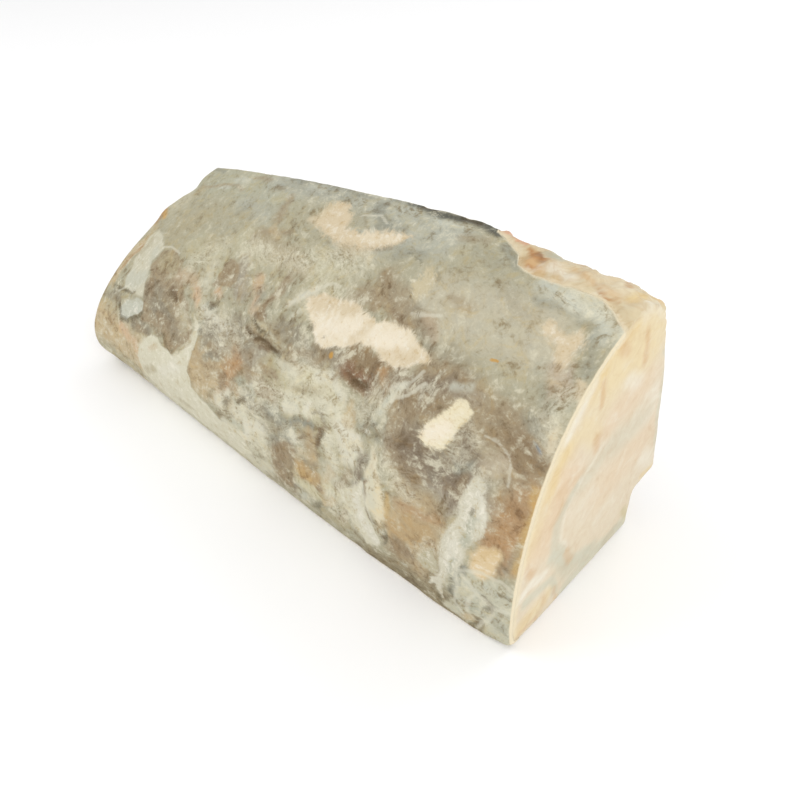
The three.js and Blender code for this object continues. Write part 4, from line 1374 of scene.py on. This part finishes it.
# Cloudy mottling about zero, from broad clouds down to fine grain.
def mottleGroup():
    group, given, out = newGroup(
        "mottle",
        (("Place", "NodeSocketVector", None), ("Scale", "NodeSocketFloat", 0.1),
         ("Warp", "NodeSocketFloat", 0.5), ("Detail", "NodeSocketFloat", 5.0),
         ("Shift", "NodeSocketVector", None)),
        (("Value", "NodeSocketFloat"),))
    place = addNode(group, "ShaderNodeVectorMath", {0: given.outputs["Place"], 1: given.outputs["Shift"]},
                    operation="ADD")
    noise = addNode(group, "ShaderNodeTexNoise",
                    {"Vector": place.outputs[0], "Scale": given.outputs["Scale"],
                     "Detail": given.outputs["Detail"], "Distortion": given.outputs["Warp"],
                     "Roughness": 0.62})
    value = maths(group, "MULTIPLY_ADD", noise.outputs[0], 2.0, -1.0)
    group.links.new(value, out.inputs["Value"])
    return group


# Brushed streaks that follow one direction.
def wispGroup():
    group, given, out = newGroup(
        "wisps",
        (("Place", "NodeSocketVector", None), ("Turn", "NodeSocketVector", None),
         ("Scale", "NodeSocketFloat", 0.3), ("Stretch", "NodeSocketVector", None)),
        (("Value", "NodeSocketFloat"),))
    spun = addNode(group, "ShaderNodeMapping",
                   {"Vector": given.outputs["Place"], "Rotation": given.outputs["Turn"]})
    drawn = addNode(group, "ShaderNodeVectorMath", {0: spun.outputs[0], 1: given.outputs["Stretch"]},
                    operation="MULTIPLY")
    noise = addNode(group, "ShaderNodeTexNoise",
                    {"Vector": drawn.outputs[0], "Scale": given.outputs["Scale"],
                     "Detail": 3.0, "Roughness": 0.7})
    group.links.new(ramp(group, noise.outputs[0], 0.3, 0.7), out.inputs["Value"])
    return group


brokenEdge = brokenEdgeGroup()
mottle = mottleGroup()
wisps = wispGroup()


def newMaterial(name, piece):
    material = bpy.data.materials.new(name)
    material.use_nodes = True
    tree = material.node_tree
    piece.data.materials.clear()
    piece.data.materials.append(material)
    return tree, tree.nodes["Principled BSDF"]


def brokenMask(tree, field, noise, raggedness, softness):
    return useGroup(tree, brokenEdge, {"Field": field, "Noise": noise, "Raggedness": raggedness,
                                       "Softness": softness}, "Mask")


def mottling(tree, place, looks):
    return [useGroup(tree, mottle, {"Place": place, **look}, "Value") for look in looks]


# How the skin is mottled. Colours are what shows on a screen; a tint multiplies the paint.
skinLook = {
    "clouds": {"Scale": 0.075, "Warp": 1.0, "Detail": 3.0},
    "warmth": {"Scale": 0.12, "Warp": 1.2, "Detail": 4.0, "Shift": (310, 90, 40)},
    "crumbs": {"Scale": 0.28, "Warp": 0.8, "Detail": 4.0},
    "grit": {"Scale": 1.1, "Warp": 0.3, "Detail": 3.0},
    "bend": {"scale": 0.05, "detail": 3.0, "reach": 20.0},
    "brushStretch": (0.19, 1, 1),
    "brushTurns": (-1.3, -0.3, 0.5),        # leaning up, low on the arc and high on it
    "highOnArc": (104, 136),
    "brushScales": (0.24, 0.55, 1.2),       # smears, bristles and hairs
    "cloudShare": 1.15,
    "gritShare": 0.28,
    "smear": {"smears": -0.64, "bristles": -0.1, "middle": 0.37, "turn": 0.3, "inWarm": 0.3,
              "inCool": 1.2},
    "calm": -0.3,
    "fullAt": {"warm": 0.4, "cool": -0.4, "dark": 0.78, "pale": -0.85, "speck": 0.6},
    "paleShare": 0.75,
    "frost": {"ragged": 1.2, "soft": 0.5, "rougher": 0.45, "smears": 0.6, "turn": 0.4, "grit": 0.16,
              "bristles": 0.42},
    "patchShare": 0.5,
    "patchGrain": {"hairs": 0.3, "middle": -0.15, "dark": (0.05, 0.8), "light": (0.0, -0.6)},
    "patch": {"sheetRagged": 2.4, "creamRagged": 1.5, "soft": 0.95, "softer": -0.35, "hairs": 0.35},
    "crease": {"ragged": 1.6, "soft": 0.8, "share": 0.45},
    "line": {"ragged": 1.2, "soft": 0.7, "share": 0.5},
    "rim": {"ragged": 0.5, "soft": 0.4, "turnsAt": (-100, -60)},
    "threads": 0.07,
    "speck": 0.85,
    "tints": {"warmer": (1.05, 0.98, 0.84, 1), "cooler": (0.97, 1.0, 1.05, 1),
              "darker": (0.55, 0.46, 0.34, 1), "patchDarker": (0.84, 0.76, 0.62, 1)},
    # crease is partly a dark stain and partly painted shade for the creases.
    "palette": {"pale": (228, 222, 197), "thread": (222, 215, 188), "frost": (236, 231, 207),
                "patch": (250, 244, 228), "crease": (92, 76, 50), "line": (230, 226, 206),
                "speck": (208, 160, 84), "tanRim": (203, 174, 128), "paleRim": (238, 225, 195)},
    "roughness": {"middle": 0.55, "grit": 0.15, "frost": 0.12},
    "specular": 0.16,
    "bump": {"Strength": 0.5, "Distance": 0.0005},
    "hairBump": 0.2,
}


def skinMaterial(piece):
    look = skinLook
    tree, surface = newMaterial("frostedSkin", piece)
    colours = {name: screenColour(*shade) for name, shade in look["palette"].items()}
    place = attribute(tree, "place", "Vector")
    noises = [look[name] for name in ("clouds", "warmth", "crumbs", "grit")]
    clouds, warmth, crumbs, grit = mottling(tree, place, noises)
    crumbNoise = maths(tree, "ADD", crumbs, 0.5)
    fromMiddle = addNode(tree, "ShaderNodeSeparateXYZ", {"Vector": place})

    # Brush marks bend a little. They lean up where the flow is 1, run along low on the arc and
    # sink towards the wide end high on it.
    bend = look["bend"]
    wander = addNode(tree, "ShaderNodeTexNoise",
                     {"Vector": place, "Scale": bend["scale"], "Detail": bend["detail"]})
    centred = addNode(tree, "ShaderNodeVectorMath", {0: wander.outputs["Color"], 1: (0.5, 0.5, 0.5)},
                      operation="SUBTRACT")
    moved = addNode(tree, "ShaderNodeVectorMath", {0: centred.outputs[0], "Scale": bend["reach"]},
                    operation="SCALE")
    bent = addNode(tree, "ShaderNodeVectorMath", {0: moved.outputs[0], 1: place}, operation="ADD")
    flow = attribute(tree, "flow")
    high = ramp(tree, fromMiddle.outputs["Y"], *look["highOnArc"])

    def brushMarks(scale):
        up, low, sinking = (
            useGroup(tree, wisps, {"Place": bent.outputs[0], "Turn": (0, 0, turn), "Scale": scale,
                                   "Stretch": look["brushStretch"]}, "Value")
            for turn in look["brushTurns"])
        sideways = addNode(tree, "ShaderNodeMix", {"Factor": high, "A": low, "B": sinking},
                           data_type="FLOAT")
        made = addNode(tree, "ShaderNodeMix", {"Factor": flow, "A": sideways.outputs[0], "B": up},
                       data_type="FLOAT")
        return made.outputs[0]

    smears, bristles, hairs = (brushMarks(scale) for scale in look["brushScales"])
    frosty, patchy = look["frost"], look["patch"]
    frost = brokenMask(tree, attribute(tree, "frost"), crumbNoise, frosty["ragged"], frosty["soft"])
    ragged = attribute(tree, "ragged")
    softness = maths(tree, "MULTIPLY_ADD", ragged, patchy["softer"], patchy["soft"])
    sheetRagged = maths(tree, "MULTIPLY", ragged, patchy["sheetRagged"])
    sheet = brokenMask(tree, attribute(tree, "sheet"), crumbNoise, sheetRagged, softness)
    fringe = maths(tree, "MULTIPLY_ADD", hairs, patchy["hairs"],
                   maths(tree, "MULTIPLY", bristles, 1 - patchy["hairs"]))
    creamRagged = maths(tree, "MULTIPLY", ragged, patchy["creamRagged"])
    cream = brokenMask(tree, attribute(tree, "cream"), fringe, creamRagged, softness)

    # Mottling: brown where the noise is high and pale where it is low, rougher in the frost.
    rough = maths(tree, "MULTIPLY_ADD", frost, frosty["rougher"], 1.0)
    small = maths(tree, "MULTIPLY", maths(tree, "MULTIPLY_ADD", grit, look["gritShare"], crumbs), rough)
    marks = look["smear"]
    smear = maths(tree, "MULTIPLY_ADD", bristles, marks["bristles"], marks["middle"])
    smear = maths(tree, "MULTIPLY_ADD", smears, marks["smears"], smear)
    coolness = ramp(tree, warmth, marks["turn"], -marks["turn"], marks["inWarm"], marks["inCool"])
    smear = maths(tree, "MULTIPLY", smear, coolness)
    smear = maths(tree, "MULTIPLY", smear, maths(tree, "MULTIPLY_ADD", frost, frosty["smears"], 1.0))
    cloud = maths(tree, "ADD", maths(tree, "MULTIPLY_ADD", clouds, look["cloudShare"], small), smear)
    busy = maths(tree, "MULTIPLY_ADD", attribute(tree, "calm"), look["calm"], 1.0)
    cloud = maths(tree, "MULTIPLY", cloud, busy)
    colour = attribute(tree, "tint", "Color")
    tints = look["tints"]
    warmer, cooler = (mixColours(tree, 1.0, colour, tints[name], "MULTIPLY")
                      for name in ("warmer", "cooler"))
    full = look["fullAt"]
    colour = mixColours(tree, ramp(tree, warmth, 0.0, full["warm"]), colour, warmer)
    colour = mixColours(tree, ramp(tree, warmth, 0.0, full["cool"]), colour, cooler)
    darker = mixColours(tree, 1.0, colour, tints["darker"], "MULTIPLY")
    colour = mixColours(tree, ramp(tree, cloud, 0.0, full["dark"]), colour, darker)
    paler = mixColours(tree, look["paleShare"], colour, colours["pale"])
    colour = mixColours(tree, ramp(tree, cloud, 0.0, full["pale"]), colour, paler)
    threads = maths(tree, "MULTIPLY", maths(tree, "ADD", bristles, hairs), look["threads"])
    colour = mixColours(tree, threads, colour, colours["thread"])
    crust = maths(tree, "MULTIPLY_ADD", ramp(tree, grit, frosty["turn"], -frosty["turn"]), frosty["grit"],
                  maths(tree, "MULTIPLY", bristles, frosty["bristles"]))
    colour = mixColours(tree, maths(tree, "MULTIPLY", frost, crust), colour, colours["frost"])

    # Patches where a pale layer shows, a little grainy inside.
    patch = attribute(tree, "patchTint", "Color")
    patchLight = mixColours(tree, look["patchShare"], patch, colours["patch"])
    patchDark = mixColours(tree, 1.0, patch, tints["patchDarker"], "MULTIPLY")
    grain = look["patchGrain"]
    inside = maths(tree, "ADD", maths(tree, "MULTIPLY_ADD", hairs, grain["hairs"], grain["middle"]),
                   maths(tree, "ADD", small, smear))
    patch = mixColours(tree, ramp(tree, inside, *grain["dark"]), patch, patchDark)
    patch = mixColours(tree, ramp(tree, inside, *grain["light"]), patch, patchLight)
    colour = mixColours(tree, maths(tree, "MAXIMUM", sheet, cream), colour, patch)

    # The crease colour is partly a dark stain and partly painted shade in the creases; the pale lines are
    # the skin's own.
    for name, noise in (("crease", maths(tree, "ADD", grit, 0.5)), ("line", crumbNoise)):
        mark = look[name]
        mask = brokenMask(tree, attribute(tree, name), noise, mark["ragged"], mark["soft"])
        colour = mixColours(tree, maths(tree, "MULTIPLY", mask, mark["share"]), colour, colours[name])
    speck = ramp(tree, attribute(tree, "speck"), 0.0, full["speck"])
    speck = maths(tree, "MULTIPLY", speck, look["speck"])
    colour = mixColours(tree, speck, colour, colours["speck"])
    edge = look["rim"]
    rim = brokenMask(tree, attribute(tree, "rim"), crumbNoise, edge["ragged"], edge["soft"])
    towardsWide = ramp(tree, fromMiddle.outputs["X"], *edge["turnsAt"])
    rimColour = mixColours(tree, towardsWide, colours["tanRim"], colours["paleRim"])
    colour = mixColours(tree, rim, colour, rimColour)
    tree.links.new(colour, surface.inputs["Base Color"])

    dull = look["roughness"]
    roughness = maths(tree, "MULTIPLY_ADD", grit, dull["grit"], dull["middle"])
    roughness = maths(tree, "MULTIPLY_ADD", frost, dull["frost"], roughness)
    tree.links.new(roughness, surface.inputs["Roughness"])
    surface.inputs["Specular IOR Level"].default_value = look["specular"]
    height = maths(tree, "MULTIPLY_ADD", hairs, look["hairBump"], small)
    bump = addNode(tree, "ShaderNodeBump", {**look["bump"], "Height": height})
    tree.links.new(bump.outputs[0], surface.inputs["Normal"])


# The flesh's. A row of two or four numbers is a ramp: from, to, and the values there.
fleshLook = {
    "darkClouds": (0.0, 0.6),
    "paleClouds": (0.0, -0.5, 0.0, 0.5),
    "fineDark": (0.1, 0.6, 0.0, 0.35),
    "cloudy": {"Scale": 0.06, "Warp": 0.8, "Detail": 5.0},
    "fine": {"Scale": 0.4, "Warp": 0.3, "Detail": 4.0},
    # The crack lines' orange-brown is partly the flesh's own colour and partly painted shade in the
    # crevices.
    "cracks": {"Scale": 0.1, "Warp": 0.9, "Detail": 2.0, "Shift": (40, 10, 90)},
    "crack": {"width": 0.22, "share": 0.08, "shareOnBare": 0.12},
    "fat": {"depth": (8.0, 1.0, -0.8, 1.0), "ragged": 1.2, "soft": 0.6, "share": 0.6},
    "darker": (0.88, 0.8, 0.7, 1),
    "palette": {"pale": (236, 229, 211), "crack": (190, 146, 92), "fat": (238, 225, 192)},
    "roughness": (0.1, 0.46),
    "specular": 0.2,
    "bump": {"Strength": 0.3, "Distance": 0.0004},
    "crackBump": -0.4,
}


def fleshMaterial(piece):
    look = fleshLook
    tree, surface = newMaterial("paleFlesh", piece)
    colours = {name: screenColour(*shade) for name, shade in look["palette"].items()}
    place = addNode(tree, "ShaderNodeTexCoord").outputs["Object"]
    inMillimetres = addNode(tree, "ShaderNodeVectorMath", {0: place, 1: (1 / millimetre,) * 3},
                            operation="MULTIPLY")
    noises = [look[name] for name in ("cloudy", "fine", "cracks")]
    cloudy, fine, cracks = mottling(tree, inMillimetres.outputs[0], noises)
    bare = attribute(tree, "bare")

    colour = attribute(tree, "tint", "Color")
    darker = mixColours(tree, 1.0, colour, look["darker"], "MULTIPLY")
    colour = mixColours(tree, ramp(tree, cloudy, *look["darkClouds"]), colour, darker)
    colour = mixColours(tree, ramp(tree, cloudy, *look["paleClouds"]), colour, colours["pale"])
    colour = mixColours(tree, ramp(tree, fine, *look["fineDark"]), colour, darker)
    # Orange-brown lines along the cracks, stronger on the bare top: partly the flesh's own colour and
    # partly painted shade in the crevices.
    lines = look["crack"]
    crack = ramp(tree, maths(tree, "ABSOLUTE", cracks), lines["width"], 0.0)
    crackShare = maths(tree, "MULTIPLY_ADD", bare, lines["shareOnBare"], lines["share"])
    colour = mixColours(tree, maths(tree, "MULTIPLY", crack, crackShare), colour, colours["crack"])
    under = look["fat"]
    nearSkin = ramp(tree, attribute(tree, "skinDepth"), *under["depth"])
    fat = brokenMask(tree, nearSkin, maths(tree, "ADD", fine, 0.5), under["ragged"], under["soft"])
    fat = maths(tree, "MULTIPLY", fat, maths(tree, "SUBTRACT", 1.0, bare))
    colour = mixColours(tree, maths(tree, "MULTIPLY", fat, under["share"]), colour, colours["fat"])
    tree.links.new(colour, surface.inputs["Base Color"])
    tree.links.new(maths(tree, "MULTIPLY_ADD", fine, *look["roughness"]), surface.inputs["Roughness"])
    surface.inputs["Specular IOR Level"].default_value = look["specular"]
    height = maths(tree, "MULTIPLY_ADD", crack, look["crackBump"], fine)
    bump = addNode(tree, "ShaderNodeBump", {**look["bump"], "Height": height})
    tree.links.new(bump.outputs[0], surface.inputs["Normal"])


skinMaterial(skinPiece)
fleshMaterial(fleshPiece)
for piece, slot in ((skinPiece, "skin"), (fleshPiece, "flesh")):
    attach(piece, "root")
    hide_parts("fillet")
print("materials ready")

# The studio: a pale floor, a white surround, soft lights and the camera.
studio = {
    "floor": {"reach": 4, "drop": 0.0003, "colour": (0.96, 0.96, 0.96, 1), "roughness": 0.7},
    "surround": 0.74,
    "lights": (
        {"name": "softboxLeft", "place": (-0.9, -0.8, 1.3), "size": 1.2, "power": 7.6},
        {"name": "softboxRight", "place": (1.3, -0.5, 0.9), "size": 1.0, "power": 8.8},
        {"name": "softboxBack", "place": (0.2, 1.2, 1.1), "size": 1.2, "power": 5.2},
    ),
    "cameraPlace": (0.26505, -0.2428, 0.3251),
    "cameraTurn": 42.19,
    "cameraTilt": 40.56,
    "lens": 36,
    "sensor": 36,
    "nearest": 0.01,
}


def buildStudio():
    base = studio["floor"]
    corners = [(x * base["reach"], y * base["reach"], -base["drop"])
               for x, y in ((-1, -1), (1, -1), (1, 1), (-1, 1))]
    floor = meshPiece("floor", corners, [(0, 1, 2, 3)])
    surface = newMaterial("paleFloor", floor)[1]
    surface.inputs["Base Color"].default_value = base["colour"]
    surface.inputs["Roughness"].default_value = base["roughness"]
    scene = bpy.context.scene
    scene.world = bpy.data.worlds.new("surround")
    scene.world.use_nodes = True
    background = scene.world.node_tree.nodes["Background"]
    background.inputs["Color"].default_value = (1, 1, 1, 1)
    background.inputs["Strength"].default_value = studio["surround"]
    for light in studio["lights"]:
        lamp = bpy.data.lights.new(light["name"], "AREA")
        lamp.shape = "DISK"
        lamp.size = light["size"]
        lamp.energy = light["power"]
        holder = bpy.data.objects.new(light["name"], lamp)
        holder.location = light["place"]
        holder.rotation_euler = (-Vector(light["place"])).to_track_quat("-Z", "Y").to_euler()
        scene.collection.objects.link(holder)

    camera = bpy.data.cameras.new("camera")
    camera.lens = studio["lens"]
    camera.sensor_width = studio["sensor"]
    camera.clip_start = studio["nearest"]
    holder = bpy.data.objects.new("camera", camera)
    turn, tilt = math.radians(studio["cameraTurn"]), math.radians(studio["cameraTilt"])
    forward = Vector((-math.sin(turn) * math.cos(tilt), math.cos(turn) * math.cos(tilt), -math.sin(tilt)))
    right = Vector((math.cos(turn), math.sin(turn), 0))
    rotation = Matrix((right, right.cross(forward), -forward)).transposed()
    holder.matrix_world = Matrix.Translation(studio["cameraPlace"]) @ rotation.to_4x4()
    scene.collection.objects.link(holder)
    scene.camera = holder
    scene.view_settings.view_transform = "Standard"


buildStudio()
print("studio ready")
